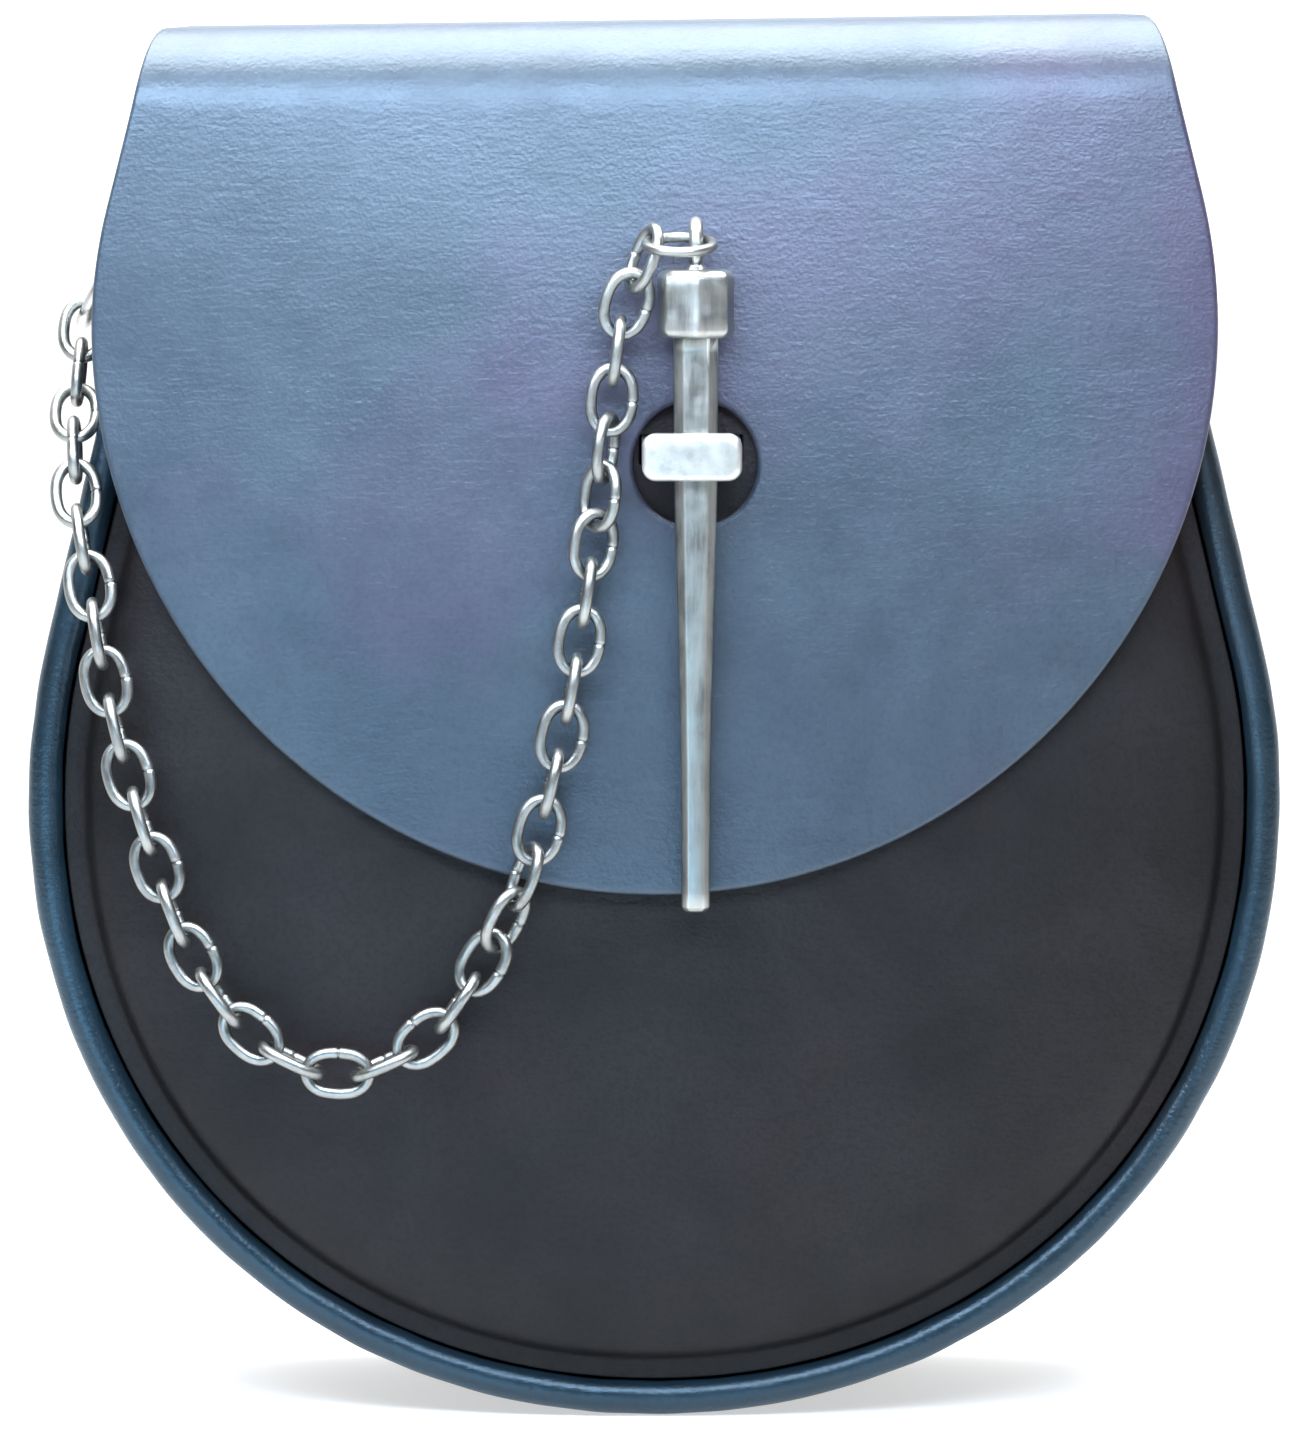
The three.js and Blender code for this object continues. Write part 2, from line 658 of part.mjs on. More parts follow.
// Profile of the tab: up is along the gusset, right is away from it, and the loop is at its foot
function tab() {
  const ply = TAB_PLY;
  const shape = new THREE.Shape();
  const meet = Math.asin((2 * ply - LOOP_RADIUS) / LOOP_RADIUS);
  shape.moveTo(-LOOP_RADIUS, TAB_LENGTH);
  shape.lineTo(-LOOP_RADIUS, 0);
  shape.absarc(0, 0, LOOP_RADIUS, Math.PI, 2 * Math.PI + meet, false);
  shape.lineTo(2 * ply - LOOP_RADIUS, LOOP_RADIUS * TAB_CLOSE_SHARE);
  shape.lineTo(2 * ply - LOOP_RADIUS, TAB_LENGTH);
  const hole = new THREE.Path();
  hole.absarc(0, 0, LOOP_HOLE, 0, 2 * Math.PI, true);
  shape.holes.push(hole);
  const width = RING_INSIDE - 2 * GAP;
  const settings = { depth: width, bevelEnabled: false, curveSegments: LOOP_STEPS };
  const geometry = new THREE.ExtrudeGeometry(shape, settings);
  geometry.translate(0, 0, -width / 2);
  geometry.rotateX(Math.PI / 2);
  return geometry;
}

// A closed tube of round wire along points in the YZ plane
function wireLoop(points, wire) {
  const loops = points.map((point, i) => {
    const before = points[(i + points.length - 1) % points.length];
    const after = points[(i + 1) % points.length];
    const along = after.clone().sub(before).normalize();
    const side = vec(1, 0, 0);
    const up = side.clone().cross(along);
    const loop = [];
    for (let k = 0; k < WIRE_SIDES; k++) {
      const angle = 2 * Math.PI * k / WIRE_SIDES;
      const offset = side.clone().multiplyScalar(Math.cos(angle)).addScaledVector(up, Math.sin(angle));
      loop.push(point.clone().addScaledVector(offset, wire / 2));
    }
    return loop;
  });
  return loft(loops, true);
}

function hangingRing() {
  const points = [];
  for (let i = 0; i <= RING_STEPS / 2; i++) {
    const angle = Math.PI * i / (RING_STEPS / 2);
    points.push(vec(0, RING_BEND * Math.cos(angle), -RING_STRAIGHT - RING_BEND * Math.sin(angle)));
  }
  points.push(vec(0, -RING_BEND, -RING_WIRE / 2));
  points.push(vec(0, -RING_BEND + RING_WIRE / 2, 0));
  points.push(vec(0, RING_BEND - RING_WIRE / 2, 0));
  points.push(vec(0, RING_BEND, -RING_WIRE / 2));
  return wireLoop(points, RING_WIRE);
}

// The chain holds the left ring further out than the right one hangs
const SIDES = [
  { name: 'left', side: -1, lean: CHAIN_RING_LEAN },
  { name: 'right', side: 1, lean: RING_LEAN },
];
for (const { name, side, lean } of SIDES) {
  const tabMesh = piece(`ring_tab_${name}`, tab(), bodyLeather);
  tabMesh.position.set(side * ringBarX, 0, RING_BAR_Z);
  if (side < 0) tabMesh.rotation.z = Math.PI;
  tabMesh.rotation.y = -side * SLOPE_ANGLE;
  const ringMesh = piece(`ring_${name}`, hangingRing(), pewter);
  ringMesh.position.set(side * ringBarX, 0, RING_BAR_Z);
  ringMesh.rotation.y = -side * lean;
}

// Chain

function link() {
  const radius = (LINK_WIDTH - LINK_WIRE) / 2;
  const stretch = (LINK_LENGTH - LINK_WIDTH) / 2;
  const geometry = new THREE.TorusGeometry(radius, LINK_WIRE / 2, WIRE_SIDES, LINK_STEPS);
  const points = geometry.attributes.position;
  for (let i = 0; i < points.count; i++) {
    const x = points.getX(i);
    const y = points.getY(i);
    const share = x / Math.hypot(x, y);
    points.setX(i, x + stretch * Math.sign(share) * Math.sqrt(Math.abs(share)));
  }
  return geometry;
}

// Where a link's centre lies from the wire that it hooks over
const hookOffset = (wire) => (LINK_LENGTH - LINK_WIRE) / 2 - (LINK_WIRE + wire) / 2 - GAP;

function chainEnds() {
  const ringCentre = vec(
    -PIN_RING_RADIUS * Math.sin(PIN_RING_TURN),
    -PIN_RING_RADIUS * Math.cos(PIN_RING_TURN),
    0,
  );
  const leftEnd = ringCentre.add(vec(
    -PIN_RING_RADIUS * Math.cos(PIN_RING_HOOK),
    PIN_RING_RADIUS * Math.sin(PIN_RING_HOOK),
    0,
  ));
  leftEnd.applyAxisAngle(vec(1, 0, 0), PIN_RING_TILT);
  leftEnd.z += EYE_HEIGHT + PIN_RING_LIFT;
  pinGroup.updateMatrix();
  leftEnd.applyMatrix4(pinGroup.matrix);
  const drop = RING_STRAIGHT + RING_BEND * Math.cos(RING_HOOK);
  const bow = vec(
    -ringBarX - drop * Math.sin(CHAIN_RING_LEAN),
    -RING_BEND * Math.sin(RING_HOOK),
    RING_BAR_Z - drop * Math.cos(CHAIN_RING_LEAN),
  );
  return { leftEnd, bow };
}

// Each link's roll about the chain: a quarter turn each, and the last one square to the ring's wire
function linkRolls(count) {
  const rolls = [FIRST_ROLL];
  for (let i = 1; i < count; i++) {
    const twist = CHAIN_TWISTS.find(({ from, to }) => i >= from && i < to);
    rolls.push(rolls[i - 1] + 90 + (twist ? twist.extra : 0));
  }
  const last = rolls[count - 1];
  const miss = 180 * Math.round(last / 180) - last;
  return rolls.map((roll, i) => {
    const settled = Math.max(0, 1 - (count - 1 - i) / SETTLING_LINKS);
    return THREE.MathUtils.degToRad(roll + miss * settled);
  });
}

function chain() {
  const { leftEnd, bow } = chainEnds();
  const route = CHAIN_ROUTE.map(([x, y, z]) => vec(x, y, z));
  const start = route[0].clone().sub(leftEnd).setLength(hookOffset(PIN_RING_WIRE)).add(leftEnd);
  const last = route[route.length - 1];
  const end = last.clone().sub(bow).setLength(hookOffset(RING_WIRE)).add(bow);
  const curve = new THREE.CatmullRomCurve3([start, ...route, end], false, 'centripetal');
  curve.arcLengthDivisions = CURVE_DIVISIONS;
  const spans = Math.ceil(curve.getLength() / LINK_PITCH);
  const rolls = linkRolls(spans + 1);
  for (let i = 0; i <= spans; i++) {
    const centre = curve.getPointAt(i / spans);
    const before = curve.getPointAt(Math.max(0, (i - 0.5) / spans));
    const after = curve.getPointAt(Math.min(1, (i + 0.5) / spans));
    const along = after.sub(before).normalize();
    const facing = vec(0, -1, 0);
    const normal = facing.sub(along.clone().multiplyScalar(facing.dot(along))).normalize();
    normal.applyAxisAngle(along, rolls[i]);
    const across = normal.clone().cross(along);
    const mesh = piece(`link_${String(i + 1).padStart(2, '0')}`, link(), pewter);
    mesh.position.copy(centre);
    mesh.quaternion.setFromRotationMatrix(new THREE.Matrix4().makeBasis(along, across, normal));
  }
}

piece('front_panel', slottedPanel(), bodyLeather);
piece('gusset', gusset(), bodyLeather);
piece('piping', piping(), pipingLeather);
piece('back_and_flap', backAndFlap(), flapLeather);
piece('keeper', keeper(), pewter);
piece('pin', pinSolid(), pewter, pinGroup);
piece('pin_ring', pinRing(), pewter, pinGroup);
chain();

export default pouch;
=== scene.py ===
# The looks of a round leather pouch: smooth leather, metal fittings, a chain, soft studio light.
# Shapes are worked out in millimetres and made in metres, in the frame's own coordinates.

import math

import bmesh
import bpy
import numpy as np
from mathutils import Matrix, Vector, geometry, kdtree, noise


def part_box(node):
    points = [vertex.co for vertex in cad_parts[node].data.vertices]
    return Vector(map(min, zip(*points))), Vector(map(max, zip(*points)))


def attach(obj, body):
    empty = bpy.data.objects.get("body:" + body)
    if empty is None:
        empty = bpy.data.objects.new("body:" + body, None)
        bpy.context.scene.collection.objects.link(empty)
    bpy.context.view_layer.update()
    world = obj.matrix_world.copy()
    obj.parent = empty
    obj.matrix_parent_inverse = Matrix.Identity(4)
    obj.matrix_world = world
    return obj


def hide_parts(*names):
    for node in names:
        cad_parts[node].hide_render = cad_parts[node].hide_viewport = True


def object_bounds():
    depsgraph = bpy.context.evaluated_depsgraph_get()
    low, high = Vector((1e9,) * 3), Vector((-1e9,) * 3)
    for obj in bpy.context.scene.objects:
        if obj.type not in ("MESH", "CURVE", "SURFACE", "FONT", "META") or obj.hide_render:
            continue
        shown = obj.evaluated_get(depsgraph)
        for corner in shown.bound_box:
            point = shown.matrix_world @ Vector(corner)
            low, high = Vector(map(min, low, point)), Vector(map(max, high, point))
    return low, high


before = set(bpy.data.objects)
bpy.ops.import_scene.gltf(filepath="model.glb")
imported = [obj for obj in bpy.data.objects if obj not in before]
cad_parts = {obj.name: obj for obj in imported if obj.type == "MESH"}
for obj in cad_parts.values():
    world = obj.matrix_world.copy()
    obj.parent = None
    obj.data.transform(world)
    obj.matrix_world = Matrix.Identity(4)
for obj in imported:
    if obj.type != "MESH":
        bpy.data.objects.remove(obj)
cad_low, cad_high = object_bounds()

BODY = "root"
MM = 0.001
GAP = 0.3
SEWN_GAP = 0.06

# Outline and depth of the pouch, in mm
BODY_HALF_WIDTH = 92.5
BODY_DROP = 91.0
BODY_CENTRE_Z = -68.8
SIDE_SLOPE = 0.24
OUTLINE_POWER = 2.06
MOUTH_Z = 35.0
BACK_Y = 14.0
MOUTH_DEPTH = 26.0
BOTTOM_DEPTH = 40.0

# Leather
PANEL_WALL = 2.0
GUSSET_WALL = 2.0
FLAP_WALL = 2.2
PIPING_RADIUS = 2.5
GUSSET_INSET = 1.2
GUSSET_BULGE = 1.0
BACK_INSET = 1.0
PANEL_RISE = 9.5
PANEL_INSET = 2 * PIPING_RADIUS + GAP

# Flap
FLAP_RADIUS = 82.0
FLAP_CENTRE_Z = 1.2
FLAP_SIDE_SLOPE = 0.25
FLAP_CROWN = 3.0
FOLD_SETTLE = 2.2
FOLD_TOP_Z = 44.8
FOLD_BACK_RADIUS = 11.0
FOLD_FRONT_RADIUS = 10.0
HOLE_RADIUS = 9.1
HOLE_X = 5.8
HOLE_Z = -18.0

# Metal fittings
KEEPER_X = 5.2
KEEPER_Z = -16.0
KEEPER_WIDTH = 14.4
KEEPER_HEIGHT = 6.9
KEEPER_BAR = 2.2
KEEPER_LEG = 1.8
KEEPER_LEG_HEIGHT = 3.6
KEEPER_PLATE = 1.4
KEEPER_CORNER = 2.0
PIN_X = 5.8
PIN_TOP_Z = 10.6
PIN_LENGTH = 93.2
PIN_TIP_Z = PIN_TOP_Z - PIN_LENGTH
HEAD_WIDTH = 11.4
HEAD_HEIGHT = 9.8
HEAD_SHOULDER_X = 0.8
HEAD_SHOULDER_Y = 0.64
SHANK_WIDTH = 6.4
TIP_WIDTH = 4.1
EYE_RADIUS = 2.5
EYE_WIRE = 2.1
EYE_HEIGHT = 4.1
PIN_RING_RADIUS = 4.8
PIN_RING_WIRE = 1.5
RING_INSIDE = 16.0
RING_WIRE = 2.2
RING_STRAIGHT = 3.5
RING_LEAN = 0.3
CHAIN_RING_LEAN = 0.5
RING_BAR_Z = 12.0
TAB_LENGTH = 20.0
TAB_PLY = 1.6
LINK_LENGTH = 10.9
LINK_WIDTH = 7.7
LINK_WIRE = 1.7
WIRE_SIDES = 16
CORNER_STEPS = 3
LINK_BLUNT = 0.35

# Unevenness of each piece: size of its hollows, depth, and where its pattern starts
PANEL_RIPPLE = (42, 0.5, 3.1)
GUSSET_RIPPLE = (16, 0.35, 1.7)
PIPING_RIPPLE = (7, 0.16, 5.3)
FLAP_RIPPLE = (38, 0.30, 8.2)
SHANK_RIPPLE = (9, 0.10, 2.4)

# Stitches: length, radius and how far the ends sink
BACK_STITCH = (3.4, 0.38, 0.20)
TAB_STITCH = (2.2, 0.34, 0.22)
BACK_STITCH_INSET = 3.2
STITCH_PITCH = 1.28

# Cut edges of the leather sheets, and the spacing of their points
PANEL_EDGE = 0.25
PANEL_EDGE_FLAT = 7
PANEL_SPACING = 2.4
FLAP_EDGE = 0.75
FLAP_SPACING = 2.1
FLAP_SLACK = 0.1

# Bevels of the metal, as (depth, inset)
HEAD_BEVEL = [(0.0, 1.25), (0.1, 0.85), (0.42, 0.42), (0.9, 0.1), (1.3, 0.0)]
KEEPER_BEVEL = [(0.0, 1.0), (0.08, 0.62), (0.34, 0.26), (0.75, 0.05), (1.1, 0.0)]
KEEPER_BACK_BEVEL = [(1.6, 0.0), (2.0, 0.12), (KEEPER_BAR, 0.4)]

# Leather's pattern: about how many hollows or pores there are to a metre
PATCHES = 15
MOTTLE = 38
SWELLS = 60
POLISH = 90
DRAWN_LINES = 640
PEBBLES = 950
SPECKS = 1300
PORES = 1700

# Finish of the leather, and the length of the painted shade at the pin's tip
WAX_ROUGHNESS = 0.34
WAX_TINT = (0.55, 0.82, 1.0)
SHEEN_ROUGHNESS = 0.45
SHEEN_TINT = (0.6, 0.75, 1.0)
SHADED_TIP_LENGTH = 0.08


def lerp(a, b, share):
    return a + (b - a) * share


# Shapes of the body

BODY_HEIGHT = MOUTH_Z - BODY_CENTRE_Z + BODY_DROP
TANGENT = math.atan((SIDE_SLOPE * BODY_DROP / BODY_HALF_WIDTH) ** (OUTLINE_POWER / (2 * OUTLINE_POWER - 2)))
SIDE_STRETCH = math.hypot(1, SIDE_SLOPE)
LEAN = (BOTTOM_DEPTH - MOUTH_DEPTH) / BODY_HEIGHT


def seam_y(z):
    return BACK_Y - MOUTH_DEPTH - LEAN * (MOUTH_Z - z)


def arc_point(angle, inset):
    """A point of the round part of the outline, moved in by inset along its normal."""
    across = abs(math.cos(angle)) ** (2 / OUTLINE_POWER)
    down = math.copysign(abs(math.sin(angle)) ** (2 / OUTLINE_POWER), math.sin(angle))
    normal = Vector((
        across ** (OUTLINE_POWER - 1) / BODY_HALF_WIDTH,
        math.copysign(abs(down) ** (OUTLINE_POWER - 1), down) / BODY_DROP,
    )).normalized()
    x = BODY_HALF_WIDTH * across - inset * normal.x
    z = BODY_CENTRE_Z + BODY_DROP * down - inset * normal.y
    return x, z


TANGENT_X, TANGENT_Z = arc_point(TANGENT, 0.0)


def side_x(z, inset=0.0):
    return TANGENT_X - SIDE_SLOPE * (z - TANGENT_Z) - inset * SIDE_STRETCH


def outline(inset, side_steps=24, arc_steps=72):
    """The outline from the left mouth corner round the bottom to the right one."""
    low = arc_point(TANGENT, inset)
    right = []
    for i in range(side_steps):
        z = lerp(MOUTH_Z, low[1], i / side_steps)
        right.append((side_x(z, inset), z))
    for i in range(arc_steps + 1):
        right.append(arc_point(lerp(TANGENT, -math.pi / 2, i / arc_steps), inset))
    right[-1] = (0.0, right[-1][1])
    left = [(-x, z) for x, z in right[:-1]]
    return left + right[::-1]


def outline_distance(x, z):
    """How far a point of the front lies inside the outline, the mouth left out."""
    if z > TANGENT_Z:
        return (side_x(z) - abs(x)) / SIDE_STRETCH
    across, down = abs(x) / BODY_HALF_WIDTH, abs(z - BODY_CENTRE_Z) / BODY_DROP
    ratio = max(1e-6, (across**OUTLINE_POWER + down**OUTLINE_POWER) ** (1 / OUTLINE_POWER))
    return (1 - ratio) * math.hypot(x, z - BODY_CENTRE_Z) / ratio


def smooth_table(rows):
    """A smooth rising curve through rows of (place, value)."""
    slopes = []
    for (x0, y0), (x1, y1) in zip(rows, rows[1:]):
        slopes.append((y1 - y0) / (x1 - x0))
    tangents = [slopes[0]]
    for a, b in zip(slopes, slopes[1:]):
        tangents.append(0.0 if a * b <= 0 else 2 * a * b / (a + b))
    tangents.append(slopes[-1])

    def value(x):
        if x <= rows[0][0]:
            return rows[0][1]
        if x >= rows[-1][0]:
            return rows[-1][1]
        k = max(i for i, row in enumerate(rows) if row[0] <= x)
        (x0, y0), (x1, y1) = rows[k], rows[k + 1]
        h = x1 - x0
        t = (x - x0) / h
        return (
            (2 * t**3 - 3 * t**2 + 1) * y0
            + (t**3 - 2 * t**2 + t) * h * tangents[k]
            + (3 * t**2 - 2 * t**3) * y1
            + (t**3 - t**2) * h * tangents[k + 1]
        )

    return value


# The panel's rise, in mm, at each distance in from the outline
panel_rise = smooth_table([
    (5.3, 0.0),
    (6.9, 0.15),
    (8.3, 0.5),
    (8.9, 1.3),
    (9.5, 2.5),
    (10.9, 3.6),
    (14.3, 4.75),
    (22.0, 6.46),
    (35.7, 8.17),
    (52.0, 9.1),
    (80.0, 9.5),
])


def ripple(x, y, z, size, depth, seed=0.0):
    """A gentle unevenness in mm, with hollows about size mm across."""
    place = Vector((x / size + seed, y / size - seed, z / size + 2 * seed))
    return depth * noise.noise(place)


# Meshes

def new_object(name, verts, faces, material):
    mesh = bpy.data.meshes.new(name)
    mesh.from_pydata([Vector(v) * MM for v in verts], [], faces)
    bm = bmesh.new()
    bm.from_mesh(mesh)
    bmesh.ops.remove_doubles(bm, verts=bm.verts, dist=1e-7)
    bmesh.ops.dissolve_degenerate(bm, edges=bm.edges, dist=1e-7)
    bmesh.ops.recalc_face_normals(bm, faces=bm.faces)
    bm.to_mesh(mesh)
    bm.free()
    mesh.shade_smooth()
    obj = bpy.data.objects.new(name, mesh)
    bpy.context.scene.collection.objects.link(obj)
    mesh.materials.append(material)
    return obj


def place_piece(obj, *nodes):
    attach(obj, BODY)
    if nodes:
        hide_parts(*nodes)
    return obj


def loft(loops, closed=False):
    """Vertices and faces of closed loops joined one to the next."""
    count = len(loops[0])
    verts = [p for loop in loops for p in loop]
    faces = []
    spans = len(loops) if closed else len(loops) - 1
    for i in range(spans):
        a, b = i * count, ((i + 1) % len(loops)) * count
        for j in range(count):
            k = (j + 1) % count
            faces.append((a + j, a + k, b + k, b + j))
    if not closed:
        faces.append(tuple(range(count)))
        faces.append(tuple(range((len(loops) - 1) * count, len(loops) * count))[::-1])
    return verts, faces


def offset_loop(loop, distance):
    """A closed loop moved to its left by distance, point by point."""
    moved = []
    for i, point in enumerate(loop):
        before, after = Vector(loop[i - 1]), Vector(loop[(i + 1) % len(loop)])
        here = Vector(point)
        arrive, leave = (here - before).normalized(), (after - here).normalized()
        along = (arrive + leave).normalized()
        left = Vector((-along.y, along.x))
        moved.append(tuple(here + left * distance / max(0.5, along.dot(arrive))))
    return moved


def inside_loop(points, loop):
    """Which of the points lie inside a closed loop."""
    inside = np.zeros(len(points), dtype=bool)
    for (x0, y0), (x1, y1) in zip(loop, loop[1:] + loop[:1]):
        if y0 == y1:
            continue
        crosses = (points[:, 1] < y0) != (points[:, 1] < y1)
        inside ^= crosses & (points[:, 0] < x0 + (points[:, 1] - y0) * (x1 - x0) / (y1 - y0))
    return inside


def leather_sheet(border, holes, surface, wall, rounding, rings, spacing):
    """A closed sheet of leather with rounded edges over a flat pattern.

    border runs anticlockwise round the pattern and each of holes runs clockwise. surface(u, v)
    gives the outer face's point and its outward normal. rings are the distances in from the
    edges at which extra rows of points lie, and spacing is the distance between the rest."""
    edges_in = [offset_loop(loop, rounding) for loop in [border] + holes]
    flat = [point for loop in edges_in for point in loop]
    links, start = [], 0
    for loop in edges_in:
        links += [(start + i, start + (i + 1) % len(loop)) for i in range(len(loop))]
        start += len(loop)
    rows = [offset_loop(loop, distance) for loop in [border] + holes for distance in rings]
    row_points = [point for row in rows for point in row]
    near = kdtree.KDTree(len(flat) + len(row_points))
    for i, (u, v) in enumerate(flat + row_points):
        near.insert((u, v, 0), i)
    near.balance()
    us, vs = [p[0] for p in border], [p[1] for p in border]
    grid, v, odd = [], min(vs), False
    while v < max(vs):
        u = min(us) + (spacing / 2 if odd else 0)
        while u < max(us):
            if near.find((u, v, 0))[2] > spacing * 0.7:
                grid.append((u, v))
            u += spacing
        v += spacing * math.sqrt(3) / 2
        odd = not odd
    free = np.array(row_points + grid)
    keep = inside_loop(free, edges_in[0])
    for loop in edges_in[1:]:
        keep &= ~inside_loop(free, loop)
    flat += [tuple(point) for point in free[keep]]
    points, _, triangles, *_ = geometry.delaunay_2d_cdt([Vector(p) for p in flat], links, [], 0, 1e-5)
    middles = np.array([[sum(points[i][k] for i in t) / 3 for k in (0, 1)] for t in triangles])
    keep = inside_loop(middles, edges_in[0])
    for loop in edges_in[1:]:
        keep &= ~inside_loop(middles, loop)
    triangles = [t for t, k in zip(triangles, keep) if k]
    frames = [surface(point[0], point[1]) for point in points]
    verts = [point for point, _ in frames] + [point - normal * wall for point, normal in frames]
    faces = [tuple(t) for t in triangles] + [tuple(i + len(points) for i in t[::-1]) for t in triangles]
    steps = 5
    profile = []
    for i in range(steps + 1):
        a = (math.pi / 2) * i / steps
        profile.append((rounding * (1 - math.sin(a)), rounding * (1 - math.cos(a))))
    profile += [(inset, wall - depth) for inset, depth in profile[::-1]]
    for loop in [border] + holes:
        base, columns = len(verts), len(profile)
        for inset, depth in profile:
            for u, v in offset_loop(loop, inset):
                point, normal = surface(u, v)
                verts.append(point - normal * depth)
        count = len(loop)
        for j in range(columns - 1):
            a, b = base + j * count, base + (j + 1) * count
            for i in range(count):
                k = (i + 1) % count
                faces.append((a + i, a + k, b + k, b + i))
    return verts, faces


def modifier(obj, kind, **settings):
    """Adds a modifier and applies it to the mesh."""
    m = obj.modifiers.new(kind.title(), kind)
    for key, value in settings.items():
        setattr(m, key, value)
    graph = bpy.context.evaluated_depsgraph_get()
    mesh = bpy.data.meshes.new_from_object(obj.evaluated_get(graph))
    obj.modifiers.clear()
    obj.data = mesh


# Material nodes

class Nodes:
    """A short way to add and join shader nodes."""

    def __init__(self, name):
        self.material = bpy.data.materials.new(name)
        self.material.use_nodes = True
        self.tree = self.material.node_tree
        self.shader = self.tree.nodes["Principled BSDF"]
        self.coords = self.tree.nodes.new("ShaderNodeTexCoord").outputs["Object"]

    def link(self, source, target):
        self.tree.links.new(source, target)

    def stretched(self, scale):
        node = self.tree.nodes.new("ShaderNodeMapping")
        node.inputs["Scale"].default_value = scale
        self.link(self.coords, node.inputs["Vector"])
        return node.outputs["Vector"]

    def noise(self, scale, detail=4.0, rough=0.5, vector=None, distortion=0.0):
        node = self.tree.nodes.new("ShaderNodeTexNoise")
        node.inputs["Scale"].default_value = scale
        node.inputs["Detail"].default_value = detail
        node.inputs["Roughness"].default_value = rough
        node.inputs["Distortion"].default_value = distortion
        self.link(vector or self.coords, node.inputs["Vector"])
        return node.outputs["Fac"]

    def cells(self, scale):
        node = self.tree.nodes.new("ShaderNodeTexVoronoi")
        node.inputs["Scale"].default_value = scale
        self.link(self.coords, node.inputs["Vector"])
        return node.outputs["Distance"]

    def ramp(self, factor, stops):
        node = self.tree.nodes.new("ShaderNodeValToRGB")
        ramp = node.color_ramp
        while len(ramp.elements) < len(stops):
            ramp.elements.new(0.5)
        for element, (place, color) in zip(ramp.elements, stops):
            element.position = place
            value = color if isinstance(color, tuple) else (color, color, color)
            element.color = (*value, 1.0)
        self.link(factor, node.inputs["Fac"])
        return node.outputs["Color"]

    def mix(self, factor, a, b):
        node = self.tree.nodes.new("ShaderNodeMix")
        node.data_type = "RGBA"
        for value, place in ((factor, 0), (a, 6), (b, 7)):
            socket = node.inputs[place]
            if isinstance(value, bpy.types.NodeSocket):
                self.link(value, socket)
            elif isinstance(value, tuple):
                socket.default_value = (*value, 1.0)
            else:
                socket.default_value = value
        return node.outputs[2]

    def math(self, operation, a, b):
        node = self.tree.nodes.new("ShaderNodeMath")
        node.operation = operation
        for value, socket in zip((a, b), node.inputs):
            if isinstance(value, bpy.types.NodeSocket):
                self.link(value, socket)
            else:
                socket.default_value = value
        return node.outputs["Value"]

    def bump(self, height, strength, distance, normal=None):
        node = self.tree.nodes.new("ShaderNodeBump")
        node.inputs["Strength"].default_value = strength
        node.inputs["Distance"].default_value = distance
        self.link(height, node.inputs["Height"])
        if normal:
            self.link(normal, node.inputs["Normal"])
        return node.outputs["Normal"]

    def finish(self, **sockets):
        for name, value in sockets.items():
            socket = self.shader.inputs[name.replace("_", " ")]
            if isinstance(value, bpy.types.NodeSocket):
                self.link(value, socket)
            elif isinstance(value, tuple):
                socket.default_value = (*value, 1.0)
            else:
                socket.default_value = value
        return self.material


def leather(name, dark, light, tint, roughness, grain, sheen, gloss, gloss_tint, wax=0.0):
    """Dyed leather: mottled dye, fine grain with faint drawn lines, and uneven polish. The blue in the flap's
    and the piping's tones is painted sheen, not dye.
    """
    n = Nodes(name)
    mottle = n.noise(MOTTLE, 4, 0.55, distortion=0.5)
    patches = n.noise(PATCHES, 3, 0.5)
    color = n.mix(n.ramp(mottle, [(0.38, 0.0), (0.66, 1.0)]), dark, light)
    color = n.mix(n.ramp(patches, [(0.5, 0.0), (0.66, 0.8)]), color, tint)
    specks = n.noise(SPECKS, 2, 0.5)
    color = n.mix(n.ramp(specks, [(0.35, 0.35), (0.55, 0.0)]), color, tuple(c * 0.45 for c in dark))
    drawn = n.noise(DRAWN_LINES, 4, 0.6, n.stretched((0.38, 0.38, 1.5)), 0.4)
    pebbles = n.noise(PEBBLES, 3, 0.6)
    pores = n.cells(PORES)
    swells = n.noise(SWELLS, 3, 0.5)
    normal = n.bump(swells, 0.30 * grain, 0.0010)
    normal = n.bump(drawn, 0.38 * grain, 0.00022, normal)
    normal = n.bump(pebbles, 0.50 * grain, 0.00013, normal)
    normal = n.bump(pores, 0.40 * grain, 0.00009, normal)
    polish = n.ramp(n.noise(POLISH, 5, 0.65), [(0.3, roughness - 0.05), (0.7, roughness + 0.07)])
    return n.finish(
        Base_Color=color,
        Roughness=polish,
        Normal=normal,
        Specular_IOR_Level=gloss,
        Specular_Tint=gloss_tint,
        Coat_Weight=wax,
        Coat_Roughness=WAX_ROUGHNESS,
        Coat_Tint=WAX_TINT,
        Sheen_Weight=sheen,
        Sheen_Roughness=SHEEN_ROUGHNESS,
        Sheen_Tint=SHEEN_TINT,
    )


